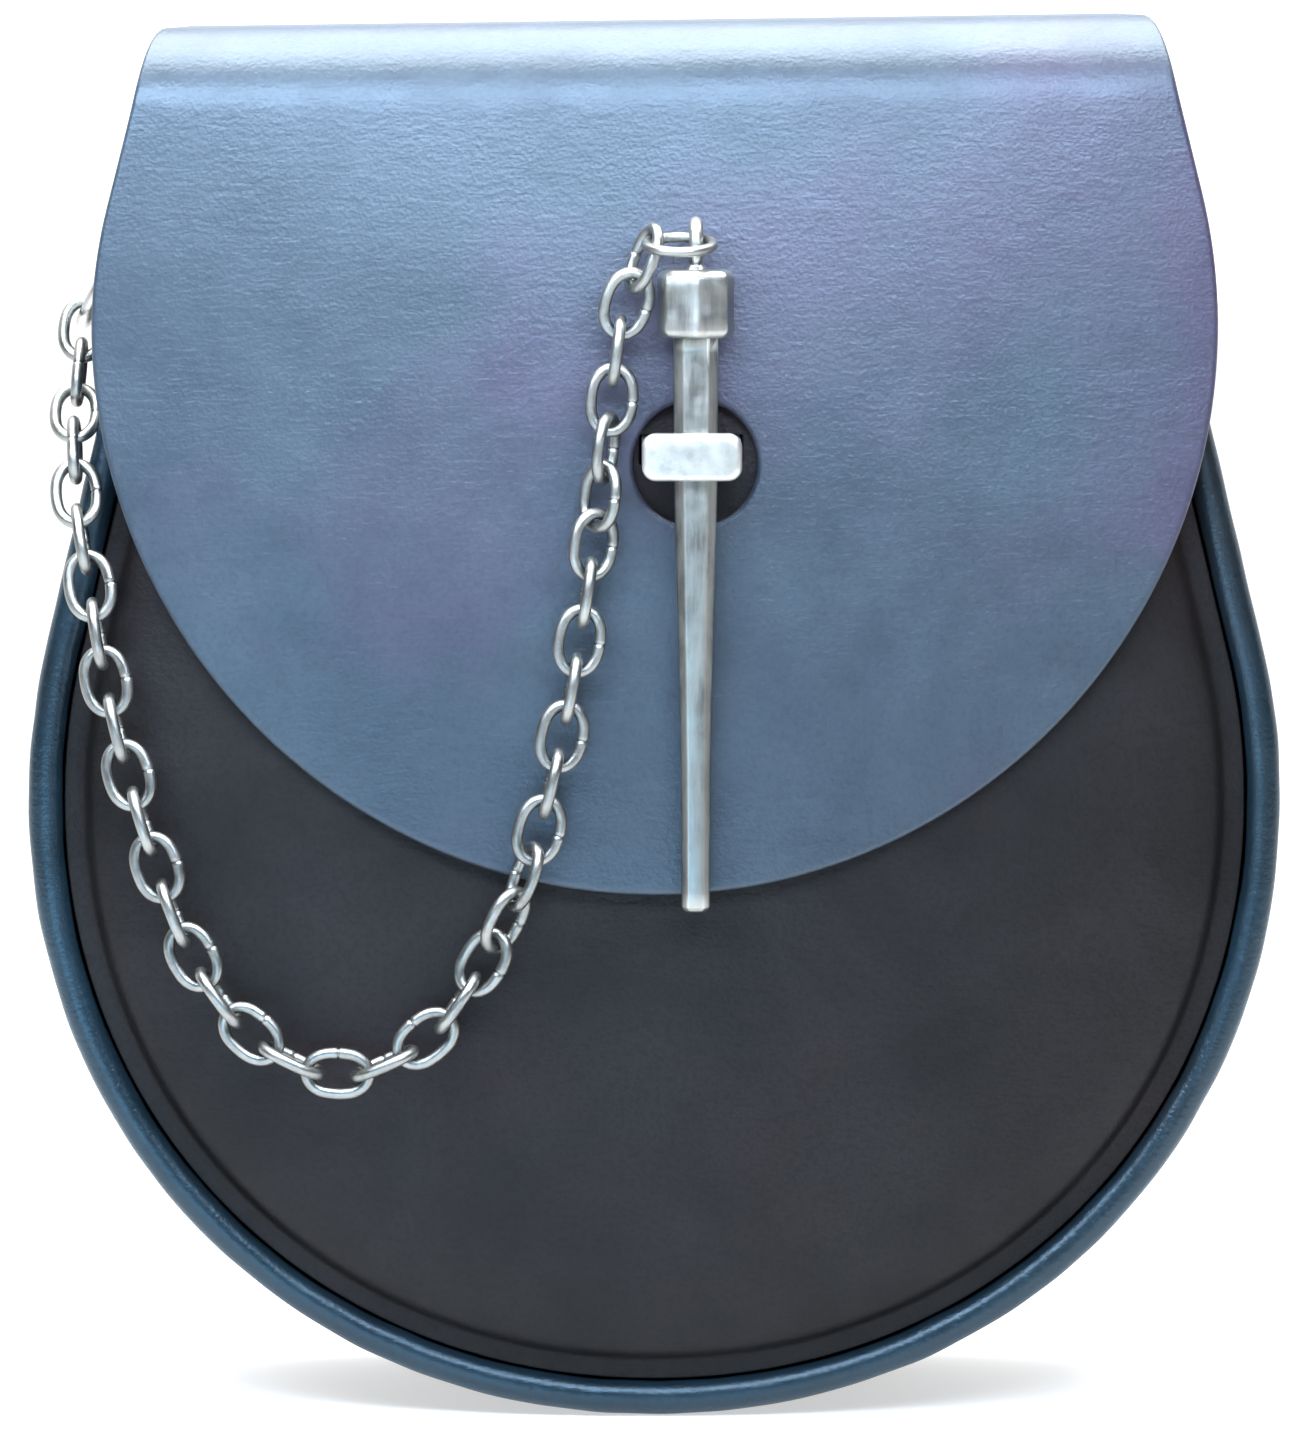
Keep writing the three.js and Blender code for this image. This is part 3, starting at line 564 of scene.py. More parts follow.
def pewter(
    name,
    stretch=(1.0, 1.0, 1.0),
    polish=(0.22, 0.40),
    shades=(0.09, 0.28, 0.44),
    shaded_tip=0.0,
    worn_edge=0.90,
):
    """Antiqued white metal: bright worn edges, grey faces, dark patina in streaks and hollows."""
    n = Nodes(name)
    streaks = n.noise(520, 6, 0.65, n.stretched(stretch))
    clouds = n.noise(190, 4, 0.55)
    stops = []
    for place, shade in zip((0.34, 0.48, 0.66), shades):
        stops.append((place, (0.97 * shade, shade, 0.98 * shade)))
    color = n.mix(n.ramp(clouds, [(0.38, 0.5), (0.62, 0.0)]), n.ramp(streaks, stops), (0.34, 0.38, 0.37))
    # Painted shade: the pin's metal gets darker towards its tip.
    if shaded_tip:
        parts = n.tree.nodes.new("ShaderNodeSeparateXYZ")
        n.link(n.coords, parts.inputs[0])
        height = n.math("SUBTRACT", parts.outputs["Z"], PIN_TIP_Z * MM)
        above_tip = n.math("MULTIPLY", height, 1 / SHADED_TIP_LENGTH)
        color = n.mix(n.ramp(above_tip, [(0.0, shaded_tip), (0.75, 0.0)]), color, (0.10, 0.11, 0.11))
    shape = n.tree.nodes.new("ShaderNodeNewGeometry")
    pointed = shape.outputs["Pointiness"]
    worn = (worn_edge, 1.01 * worn_edge, 0.99 * worn_edge)
    color = n.mix(n.ramp(pointed, [(0.505, 0.0), (0.56, 0.85)]), color, worn)
    color = n.mix(n.ramp(pointed, [(0.43, 0.85), (0.495, 0.0)]), color, (0.05, 0.05, 0.045))
    normal = n.bump(streaks, 0.3, 0.00012)
    rough = n.ramp(n.noise(300, 4, 0.6), [(0.3, polish[0]), (0.7, polish[1])])
    return n.finish(Base_Color=color, Metallic=1.0, Roughness=rough, Normal=normal)


def thread(name):
    """Waxed black thread with its twist."""
    n = Nodes(name)
    twist = n.noise(1800, 3, 0.6)
    color = n.mix(twist, (0.006, 0.006, 0.007), (0.03, 0.03, 0.033))
    return n.finish(Base_Color=color, Roughness=0.5, Normal=n.bump(twist, 0.6, 0.0002))


# The flap's leather is the body's black leather made lighter and slate blue: painted bluish sheen and light
# on the flap. Its violet patches are random tone.
FLAP_LEATHER_WITH_PAINTED_SHEEN = leather(
    "flap_leather", (0.019, 0.029, 0.045), (0.027, 0.042, 0.062), (0.044, 0.028, 0.064),
    0.40, 0.8, 0.05, 0.9, (0.66, 0.83, 1.0))
BODY_LEATHER = leather(
    "body_leather", (0.008, 0.0075, 0.008), (0.014, 0.013, 0.014), (0.019, 0.012, 0.014),
    0.48, 1.0, 0.0, 0.22, (0.86, 0.92, 1.0))
# The piping is black leather; the teal in its tones is partly painted highlight.
PIPING_LEATHER_WITH_PAINTED_HIGHLIGHT = leather(
    "piping_leather", (0.006, 0.013, 0.019), (0.010, 0.024, 0.036), (0.016, 0.012, 0.010),
    0.33, 1.0, 0.0, 0.62, (0.50, 0.77, 1.0), 0.3)
FLESH_SIDE = leather(
    "flesh_side", (0.016, 0.014, 0.014), (0.030, 0.027, 0.026), (0.022, 0.019, 0.018),
    0.85, 2.2, 0.0, 0.2, (0.9, 0.95, 1.0))
PEWTER = pewter("pewter")
PIN_METAL = pewter("pin_metal", (1.0, 1.0, 0.14), (0.28, 0.44), (0.08, 0.22, 0.35), 0.55, 0.62)
CHAIN_METAL = pewter("chain_metal", (1.0, 1.0, 1.0), (0.30, 0.46), (0.05, 0.16, 0.30), 0.0, 0.40)
# The keeper's metal is a lighter copy of the fittings' pewter: painted light on the keeper's flat, lit front.
KEEPER_METAL_PAINTED_LIGHT = pewter("keeper_metal", (1.0, 1.0, 1.0), (0.38, 0.52), (0.27, 0.40, 0.48))
THREAD = thread("thread")


# Front panel: a flat seam edge, a turned-up rim and a dome

def closed_front(inset):
    """The outline closed across the mouth, anticlockwise as seen with z up."""
    points = outline(inset, 40, 110)
    half, steps = points[-1][0], 60
    return points + [(lerp(half, -half, i / steps), MOUTH_Z) for i in range(1, steps)]


def panel_surface(x, z):
    distance = outline_distance(x, z)

    def y_at(px, pz):
        rise = panel_rise(outline_distance(px, pz))
        return seam_y(pz) - rise - ripple(px, 0, pz, *PANEL_RIPPLE) * rise / PANEL_RISE

    y = y_at(x, z)
    step = 0.4
    slope_x = (y_at(x + step, z) - y_at(x - step, z)) / (2 * step)
    slope_z = (y_at(x, z + step) - y_at(x, z - step)) / (2 * step)
    if distance < PANEL_EDGE_FLAT:
        slope_x, slope_z = 0.0, LEAN
    return Vector((x, y, z)), Vector((slope_x, -1.0, slope_z)).normalized()


PANEL_RINGS = [1.1, 1.8, 2.4, 2.8, 3.15, 3.5, 3.85, 4.25, 4.8, 5.6, 6.8, 8.4, 10.4]


def slot_loop(side):
    """The cut in the panel that one leg of the keeper goes through, clockwise."""
    x = KEEPER_X + side * (KEEPER_WIDTH - KEEPER_LEG) / 2
    w, h = KEEPER_LEG / 2 + GAP, KEEPER_LEG_HEIGHT / 2 + GAP
    corners = [(-w, -h), (-w, h), (w, h), (w, -h)]
    points = []
    for (u0, v0), (u1, v1) in zip(corners, corners[1:] + corners[:1]):
        points += [(x + lerp(u0, u1, i / 6), KEEPER_Z + lerp(v0, v1, i / 6)) for i in range(6)]
    return points


def make_panel():
    verts, faces = leather_sheet(
        closed_front(PANEL_INSET),
        [slot_loop(-1), slot_loop(1)],
        panel_surface,
        PANEL_WALL,
        PANEL_EDGE,
        PANEL_RINGS,
        PANEL_SPACING,
    )
    place_piece(new_object("front_leather", verts, faces, BODY_LEATHER), "front_panel")


def box_object(name, size, centre):
    bm = bmesh.new()
    bmesh.ops.create_cube(bm, size=1.0)
    matrix = Matrix.Translation(Vector(centre) * MM) @ Matrix.Diagonal((*(Vector(size) * MM), 1))
    bmesh.ops.transform(bm, matrix=matrix, verts=bm.verts)
    mesh = bpy.data.meshes.new(name)
    bm.to_mesh(mesh)
    bm.free()
    obj = bpy.data.objects.new(name, mesh)
    bpy.context.scene.collection.objects.link(obj)
    return obj


def combine(obj, tool, operation):
    modifier(obj, "BOOLEAN", operation=operation, object=tool, solver="EXACT")
    bpy.data.objects.remove(tool)


def subtract(obj, tool):
    combine(obj, tool, "DIFFERENCE")


def unite(obj, tool):
    combine(obj, tool, "UNION")


# Gusset: one strip round the body, full between its seams, with soft creases at the bends

def strip_section(wall, levels):
    """Rows of (level across the strip, depth below the outer face), once round the strip."""
    rows = [(level, 0.0) for level in levels]
    rows += [(levels[-1], wall * share) for share in (0.3, 0.7)]
    rows += [(level, wall) for level in levels[::-1]]
    rows += [(levels[0], wall * share) for share in (0.7, 0.3)]
    return rows


def make_gusset():
    levels = [0, 0.012, 0.04, 0.1, 0.2, 0.32, 0.44, 0.56, 0.68, 0.8, 0.9, 0.96, 0.988, 1]
    section = strip_section(GUSSET_WALL, levels)
    rims = {depth: outline(GUSSET_INSET + depth) for depth in {row[1] for row in section}}
    normals = []
    outer, inner = outline(0), outline(1)
    for (x0, z0), (x1, z1) in zip(inner, outer):
        normals.append(Vector((x1 - x0, 0, z1 - z0)).normalized())
    loops = []
    for i, normal in enumerate(normals):
        loop = []
        for level, depth in section:
            x, z = rims[depth][i]
            front = seam_y(z) + PIPING_RADIUS + SEWN_GAP
            y = lerp(front, BACK_Y - FLAP_WALL - SEWN_GAP, level)
            swell = GUSSET_BULGE * math.sin(math.pi * level)
            edge = min(1.0, level / 0.03, (1 - level) / 0.03)
            swell -= 0.35 * (1 - edge) * (1 if depth == 0 else -0.4)
            crease = ripple(x, y, z, *GUSSET_RIPPLE) * math.sin(math.pi * level)
            loop.append(Vector((x, y, z)) + normal * (swell + crease))
        loops.append(loop)
    verts, faces = loft(loops)
    place_piece(new_object("gusset_leather", verts, faces, BODY_LEATHER), "gusset")


# Piping: the round welt in the front seam, its cover drawn a little uneven

def make_piping():
    centres, rims = outline(PIPING_RADIUS, 40, 130), outline(0, 40, 130)
    sides = 22
    loops = []
    for (cx, cz), (rx, rz) in zip(centres, rims):
        out = Vector((rx - cx, 0, rz - cz)).normalized()
        loop = []
        for k in range(sides):
            a = 2 * math.pi * k / sides
            swell = ripple(cx + 2 * math.cos(a), 2 * math.sin(a), cz, *PIPING_RIPPLE)
            radius = PIPING_RADIUS - 0.04 + swell
            y = seam_y(cz) + radius * math.sin(a)
            loop.append(Vector((cx, y, cz)) + out * radius * math.cos(a))
        loops.append(loop)
    verts, faces = loft(loops)
    place_piece(new_object("piping_cover", verts, faces, PIPING_LEATHER_WITH_PAINTED_HIGHLIGHT), "piping")


# Back and flap: one piece of leather, up the back, over the mouth and down the front

LEAN_ANGLE = math.atan(LEAN)
FLAP_TANGENT = math.atan(FLAP_SIDE_SLOPE)
FLAP_SIDE_X = FLAP_RADIUS * math.cos(FLAP_TANGENT)
FLAP_SIDE_Z = FLAP_CENTRE_Z + FLAP_RADIUS * math.sin(FLAP_TANGENT)
BACK_INNER_Y = BACK_Y - FLAP_WALL
BACK_FOLD_Z = FOLD_TOP_Z - FOLD_BACK_RADIUS


def flap_inner_y(z):
    return seam_y(z) - PANEL_RISE - GAP


# The leather's own path over the mouth, as lengths along its inner face from the back's fold
FRONT_FOLD_Z = FOLD_TOP_Z - FOLD_FRONT_RADIUS * (1 - math.sin(LEAN_ANGLE))
FRONT_CENTRE_Y = flap_inner_y(FRONT_FOLD_Z) + FOLD_FRONT_RADIUS * math.cos(LEAN_ANGLE)
FRONT_CENTRE_Z = FOLD_TOP_Z - FOLD_FRONT_RADIUS
BACK_CENTRE_Y = BACK_INNER_Y - FOLD_BACK_RADIUS
BACK_ARC = FOLD_BACK_RADIUS * math.pi / 2
TOP_RUN = BACK_CENTRE_Y - FRONT_CENTRE_Y
FRONT_ARC = FOLD_FRONT_RADIUS * (math.pi / 2 - LEAN_ANGLE)
FOLD_LENGTH = BACK_ARC + TOP_RUN + FRONT_ARC
FRONT_COS = math.cos(LEAN_ANGLE)


def on_fold(centre_y, centre_z, radius, normal):
    """The point (y, z) of a fold in a direction out from its centre."""
    return centre_y + radius * normal[0], centre_z + radius * normal[1]


def leather_path(s):
    """Point (y, z) on the inner face and outward normal (y, z) at a length along the leather."""
    if s <= 0:
        return (BACK_INNER_Y, BACK_FOLD_Z + s), (1.0, 0.0)
    if s <= BACK_ARC:
        a = s / FOLD_BACK_RADIUS
        normal = (math.cos(a), math.sin(a))
        return on_fold(BACK_CENTRE_Y, BACK_FOLD_Z, FOLD_BACK_RADIUS, normal), normal
    if s <= BACK_ARC + TOP_RUN:
        return (BACK_CENTRE_Y - (s - BACK_ARC), FOLD_TOP_Z), (0.0, 1.0)
    if s <= FOLD_LENGTH:
        a = math.pi / 2 - (s - BACK_ARC - TOP_RUN) / FOLD_FRONT_RADIUS
        normal = (-math.cos(a), math.sin(a))
        return on_fold(FRONT_CENTRE_Y, FRONT_CENTRE_Z, FOLD_FRONT_RADIUS, normal), normal
    z = FRONT_FOLD_Z - (s - FOLD_LENGTH) * FRONT_COS
    return (flap_inner_y(z), z), (-FRONT_COS, math.sin(LEAN_ANGLE))


def front_s(z):
    """Length along the leather at a height on the flap's front."""
    return FOLD_LENGTH + (FRONT_FOLD_Z - z) / FRONT_COS


def leather_border():
    """The cut edge of the leather as (x, s), once round."""
    right = []
    for x, z in outline(BACK_INSET)[::-1]:
        if x >= 0 and z < BACK_FOLD_Z:
            right.append((x, z - BACK_FOLD_Z))
    right.sort(key=lambda p: p[1])
    back_half = side_x(BACK_FOLD_Z, BACK_INSET)
    tangent_s = front_s(FLAP_SIDE_Z)
    steps = 56
    for i in range(steps):
        s = tangent_s * i / steps
        right.append((max(back_half, FLAP_SIDE_X - FLAP_SIDE_SLOPE * (tangent_s - s)), s))
    arc_steps = 80
    for i in range(arc_steps + 1):
        a = lerp(FLAP_TANGENT, -math.pi / 2, i / arc_steps)
        right.append((FLAP_RADIUS * math.cos(a), front_s(FLAP_CENTRE_Z + FLAP_RADIUS * math.sin(a))))
    right[-1] = (0.0, right[-1][1])
    return right + [(-x, s) for x, s in right[-2:0:-1]]


crown_share = smooth_table([(FOLD_LENGTH - FRONT_ARC, 0.0), (FOLD_LENGTH, 0.22), (FOLD_LENGTH + 40, 1.0)])
settle_share = smooth_table([(-40, 0.0), (BACK_ARC * 0.5, 1.0), (FOLD_LENGTH, 1.0), (FOLD_LENGTH + 45, 0.0)])


def flap_surface(x, s):
    (y, z), (ny, nz) = leather_path(s)
    front = max(0.0, min(1.0, (s - FOLD_LENGTH + FRONT_ARC) / 40))
    crown = FLAP_CROWN * crown_share(s) * (x / FLAP_RADIUS) ** 2
    slope = -2 * FLAP_CROWN * crown_share(s) * x / FLAP_RADIUS**2
    swell = FLAP_WALL + front * ripple(x, 0, z, *FLAP_RIPPLE) - 0.12 * (1 - front)
    normal = Vector((slope * ny, ny, nz)).normalized()
    settle = FOLD_SETTLE * settle_share(s) * (0.5 - x / FLAP_RADIUS / 2)
    return Vector((x, y + crown, z - settle)) + normal * swell, normal


FLAP_RINGS = [1.3, 2.1, 3.2, 4.6]


def hole_loop():
    """The flap's round hole, clockwise."""
    s_hole = front_s(HOLE_Z)
    angles = [-2 * math.pi * k / 72 for k in range(72)]
    return [(HOLE_X + HOLE_RADIUS * math.cos(a), s_hole + HOLE_RADIUS * math.sin(a)) for a in angles]


def make_flap():
    verts, faces = leather_sheet(
        leather_border(),
        [hole_loop()],
        flap_surface,
        FLAP_WALL - FLAP_SLACK,
        FLAP_EDGE,
        FLAP_RINGS,
        FLAP_SPACING,
    )
    obj = new_object("flap_leather_piece", verts, faces, FLAP_LEATHER_WITH_PAINTED_SHEEN)
    obj.data.materials.append(FLESH_SIDE)
    paint_inner_side(obj)
    place_piece(obj, "back_and_flap")


def paint_inner_side(obj):
    """Gives the flesh side to the faces that look into the pouch."""
    for face in obj.data.polygons:
        c, n = face.center / MM, face.normal
        on_back = c.y > BACK_INNER_Y - 0.5 and n.y < -0.5
        over_mouth = c.z > BACK_FOLD_Z and n.z < -0.3
        behind_flap = c.y < 0 and n.y > 0.5
        if on_back or over_mouth or behind_flap:
            face.material_index = 1


# Stitches: short waxed threads that lie along a line, each sunk at its ends

def stitch_row(points, normals, length, radius, sink):
    """Vertices and faces of a row of stitches along a path of points."""
    verts, faces = [], []
    ring, stations = 8, 7
    travelled = 0.0
    spans = []
    for a, b in zip(points, points[1:]):
        spans.append((travelled, (b - a).length, a, b))
        travelled += (b - a).length
    pitch = length * STITCH_PITCH
    count = int(travelled / pitch)
    pitch = travelled / count

    def at(distance):
        for k, (start, size, a, b) in enumerate(spans):
            if distance <= start + size or k == len(spans) - 1:
                share = (distance - start) / size
                normal = normals[k].lerp(normals[k + 1], share).normalized()
                return a.lerp(b, share), normal, (b - a).normalized()

    for i in range(count):
        base = len(verts)
        middle = (i + 0.5) * pitch
        for j in range(stations):
            share = j / (stations - 1)
            point, normal, along = at(middle + (share - 0.5) * length)
            side = along.cross(normal)
            bow = math.sin(math.pi * share)
            width = radius * (0.55 + 0.45 * bow**0.5)
            centre = point + normal * (bow * sink - sink * 0.45)
            for k in range(ring):
                a = 2 * math.pi * k / ring
                verts.append(centre + side * width * math.cos(a) + normal * width * 0.8 * math.sin(a))
        for j in range(stations - 1):
            low, high = base + j * ring, base + (j + 1) * ring
            for k in range(ring):
                m = (k + 1) % ring
                faces.append((low + k, low + m, high + m, high + k))
        faces.append(tuple(base + k for k in range(ring))[::-1])
        faces.append(tuple(base + (stations - 1) * ring + k for k in range(ring)))
    return verts, faces


def make_back_stitches():
    path = [Vector((x, BACK_Y, z)) for x, z in outline(BACK_INSET + BACK_STITCH_INSET)]
    normals = [Vector((0, 1, 0))] * len(path)
    verts, faces = stitch_row(path, normals, *BACK_STITCH)
    place_piece(new_object("back_stitches", verts, faces, THREAD))


# Rings, tabs, keeper and pin

def wire_loop(points, radius):
    """A closed tube of round wire along points in one plane."""
    centre = sum(points, Vector()) / len(points)
    plane = (points[0] - centre).cross(points[len(points) // 4] - centre).normalized()
    loops = []
    for i, point in enumerate(points):
        along = (points[(i + 1) % len(points)] - points[i - 1]).normalized()
        up = plane.cross(along)
        loop = []
        for k in range(WIRE_SIDES):
            a = 2 * math.pi * k / WIRE_SIDES
            loop.append(point + (plane * math.cos(a) + up * math.sin(a)) * radius)
        loops.append(loop)
    return loft(loops, True)


SLOPE_ANGLE = math.atan(SIDE_SLOPE)
LOOP_HOLE = RING_WIRE / 2 + GAP
LOOP_RADIUS = LOOP_HOLE + TAB_PLY
RING_BAR_X = side_x(RING_BAR_Z, GUSSET_INSET - GUSSET_BULGE) + (LOOP_RADIUS + GAP) / math.cos(SLOPE_ANGLE)
RING_BEND = RING_INSIDE / 2 + RING_WIRE / 2


def make_hanging_ring(name, side):
    points = []
    for i in range(33):
        a = math.pi * i / 32
        points.append((RING_BEND * math.cos(a), -RING_STRAIGHT - RING_BEND * math.sin(a)))
    corner = 1.6
    for i in range(1, 7):
        a = math.pi / 2 * i / 6
        points.append((-RING_BEND + corner * (1 - math.cos(a)), -corner + corner * math.sin(a)))
    for i in range(1, 8):
        points.append((lerp(-RING_BEND + corner, RING_BEND - corner, i / 8), 0))
    for i in range(6):
        a = math.pi / 2 * (1 - i / 6)
        points.append((RING_BEND - corner * (1 - math.cos(a)), -corner + corner * math.sin(a)))
    turn = Matrix.Rotation(-side * (CHAIN_RING_LEAN if side < 0 else RING_LEAN), 3, "Y")
    origin = Vector((side * RING_BAR_X, 0, RING_BAR_Z))
    placed = [origin + turn @ Vector((0, y, z)) for y, z in points]
    verts, faces = wire_loop(placed, RING_WIRE / 2)
    place_piece(new_object(f"{name}_wire", verts, faces, PEWTER), name)


def make_tab(name, side):
    """A strip folded round the ring's bar, its two plies sewn together on the gusset."""
    ply = TAB_PLY
    steps = 20
    outer = [(-LOOP_RADIUS, TAB_LENGTH), (-LOOP_RADIUS, TAB_LENGTH * 0.5), (-LOOP_RADIUS, 2.0)]
    join = math.asin((2 * ply - LOOP_RADIUS) / LOOP_RADIUS)
    for i in range(steps + 1):
        a = lerp(math.pi, 2 * math.pi + join, i / steps)
        outer.append((LOOP_RADIUS * math.cos(a), LOOP_RADIUS * math.sin(a)))
    outer += [(2 * ply - LOOP_RADIUS, LOOP_RADIUS * 1.4), (2 * ply - LOOP_RADIUS, TAB_LENGTH * 0.6)]
    outer += [(2 * ply - LOOP_RADIUS, TAB_LENGTH)]
    half = (RING_INSIDE - 2 * GAP) / 2
    levels = [(-half, 0.5), (-half + 0.18, 0.15), (-half + 0.6, 0.0)]
    levels += [(half - 0.6, 0.0), (half - 0.18, 0.15), (half, 0.5)]
    middle = sum((Vector(p) for p in outer), Vector((0, 0))) / len(outer)
    turn = Matrix.Rotation(side * SLOPE_ANGLE * -1, 3, "Y")
    origin = Vector((side * RING_BAR_X, 0, RING_BAR_Z))
    loops = []
    for y, shrink in levels:
        loop = []
        for u, v in outer:
            keep = 1 - shrink * 0.35 / max(1.0, (Vector((u, v)) - middle).length)
            u2, v2 = middle.x + (u - middle.x) * keep, middle.y + (v - middle.y) * keep
            loop.append(origin + turn @ Vector((side * u2, y, v2)))
        loops.append(loop)
    verts, faces = loft(loops)
    obj = new_object(f"{name}_leather", verts, faces, BODY_LEATHER)
    drill = []
    for y in (-half - 2, half + 2):
        ring = []
        for k in range(32):
            a = 2 * math.pi * k / 32
            ring.append(origin + turn @ Vector((LOOP_HOLE * math.cos(a), y, LOOP_HOLE * math.sin(a))))
        drill.append(ring)
    verts, faces = loft(drill)
    subtract(obj, new_object("drill", verts, faces, BODY_LEATHER))
    place_piece(obj, name)
    make_tab_stitches(name, side, origin, turn, half)


def make_tab_stitches(name, side, origin, turn, half):
    face = 2 * TAB_PLY - LOOP_RADIUS
    low, high, edge = LOOP_RADIUS * 1.4 + 1.2, TAB_LENGTH - 2.0, half - 2.0
    corners = [(-edge, low), (-edge, high), (edge, high), (edge, low), (-edge, low)]
    path = []
    for (y0, v0), (y1, v1) in zip(corners, corners[1:]):
        for i in range(8):
            path.append(origin + turn @ Vector((side * face, lerp(y0, y1, i / 8), lerp(v0, v1, i / 8))))
    path.append(path[0].copy())
    out = turn @ Vector((side, 0, 0))
    verts, faces = stitch_row(path, [out] * len(path), *TAB_STITCH)
    place_piece(new_object(f"{name}_stitches", verts, faces, THREAD))


# Pin: an eight-sided head with an eye, and a square shank that tapers to a blunt tip

HEAD_HALF = HEAD_WIDTH / 2
PIN_TOP_Y = flap_inner_y(PIN_TOP_Z) - FLAP_WALL - HEAD_HALF - 2 * GAP
PIN_TIP_Y = flap_inner_y(PIN_TIP_Z) - FLAP_WALL - TIP_WIDTH / 2 - GAP
PIN_TILT = math.atan2(PIN_TOP_Y - PIN_TIP_Y, PIN_LENGTH)
PIN_PLACE = Matrix.Translation((PIN_X, PIN_TOP_Y, PIN_TOP_Z)) @ Matrix.Rotation(-PIN_TILT, 4, "X")

shank_taper = smooth_table([(0, 0.0), (0.22, 0.06), (0.5, 0.5), (0.8, 0.92), (1, 1.0)])


def polygon_loop(corners, z):
    return [PIN_PLACE @ Vector((x, y, z)) for x, y in corners]


def soft_corners(corners, rounding):
    """Each corner of a polygon cut to a small arc."""
    points = []
    count = len(corners)
    for i, corner in enumerate(corners):
        here, before, after = Vector(corner), Vector(corners[i - 1]), Vector(corners[(i + 1) % count])
        a = here + (before - here).normalized() * rounding
        b = here + (after - here).normalized() * rounding
        for k in range(CORNER_STEPS + 1):
            t = k / CORNER_STEPS
            points.append(tuple((1 - t) ** 2 * a + 2 * t * (1 - t) * here + t * t * b))
    return points


def head_corners(radius):
    """Eight sides: two broad ones meet in a ridge at the front and two at the back."""
    x, y = radius * HEAD_SHOULDER_X, radius * HEAD_SHOULDER_Y
    corners = [(radius, 0), (x, y), (0, radius), (-x, y), (-radius, 0), (-x, -y), (0, -radius), (x, -y)]
    return soft_corners(corners, 0.5)


def shank_corners(width):
    half, corner = width / 2, width / 2 * 0.56
    corners = [(half, corner), (corner, half), (-corner, half), (-half, corner)]
    corners += [(-half, -corner), (-corner, -half), (corner, -half), (half, -corner)]
    return soft_corners(corners, 0.28)


def make_pin():
    rows = [(-depth, HEAD_HALF - inset) for depth, inset in HEAD_BEVEL]
    for share in (0.3, 0.5, 0.7):
        rows.append((-HEAD_HEIGHT * share, HEAD_HALF - 0.12 * math.sin(math.pi * share)))
    rows += [(-HEAD_HEIGHT + depth, HEAD_HALF - inset) for depth, inset in HEAD_BEVEL[::-1]]
    verts, faces = loft([polygon_loop(head_corners(radius), z) for z, radius in rows])
    obj = new_object("pin_metal_piece", verts, faces, PIN_METAL)
    length = PIN_LENGTH - HEAD_HEIGHT
    loops = [polygon_loop(shank_corners(SHANK_WIDTH), -HEAD_HEIGHT + 1.0)]
    steps = 40
    for i in range(steps + 1):
        share = i / steps
        z = -HEAD_HEIGHT - share * (length - 0.8)
        width = lerp(SHANK_WIDTH, TIP_WIDTH, shank_taper(share))
        width += ripple(0, 0, z, *SHANK_RIPPLE)
        loops.append(polygon_loop(shank_corners(width), z))
    for depth, shrink in ((0.55, 0.25), (0.25, 0.6), (0.0, 1.2)):
        loops.append(polygon_loop(shank_corners(TIP_WIDTH - shrink), -PIN_LENGTH + depth))
    verts, faces = loft(loops)
    unite(obj, new_object("shank", verts, faces, PIN_METAL))
    eye = []
    for k in range(40):
        a = 2 * math.pi * k / 40
        eye.append(PIN_PLACE @ Vector((0, EYE_RADIUS * math.cos(a), EYE_HEIGHT + EYE_RADIUS * math.sin(a))))
    verts, faces = wire_loop(eye, EYE_WIRE / 2)
    unite(obj, new_object("eye", verts, faces, PIN_METAL))
    neck = []
    for z, radius in ((-1.0, 2.0), (0.0, 1.75), (0.35, 1.4), (0.8, 1.15), (1.5, 0.95)):
        turns = [math.pi * k / 10 for k in range(20)]
        neck.append(polygon_loop([(radius * math.cos(a), radius * math.sin(a)) for a in turns], z))
    verts, faces = loft(neck)
    unite(obj, new_object("neck", verts, faces, PIN_METAL))
    obj.data.shade_smooth()
    place_piece(obj, "pin")


def axes_of(node):
    """Centre and three axes of a ring or link, long one first, from its CAD solid."""
    points = [v.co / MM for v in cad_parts[node].data.vertices]
    centre = sum(points, Vector()) / len(points)
    spread = [[sum((p - centre)[i] * (p - centre)[j] for p in points) for j in range(3)] for i in range(3)]
    matrix = Matrix(spread)
    axes = []
    for _ in range(2):
        axis = Vector((0.61, 0.33, 0.72))
        for _ in range(60):
            axis = (matrix @ axis).normalized()
        axes.append(axis)
        weight = axis.dot(matrix @ axis)
        outer = Matrix([[axis[i] * axis[j] * weight for j in range(3)] for i in range(3)])
        matrix = matrix - outer
    return centre, axes[0], axes[1], axes[0].cross(axes[1]).normalized()


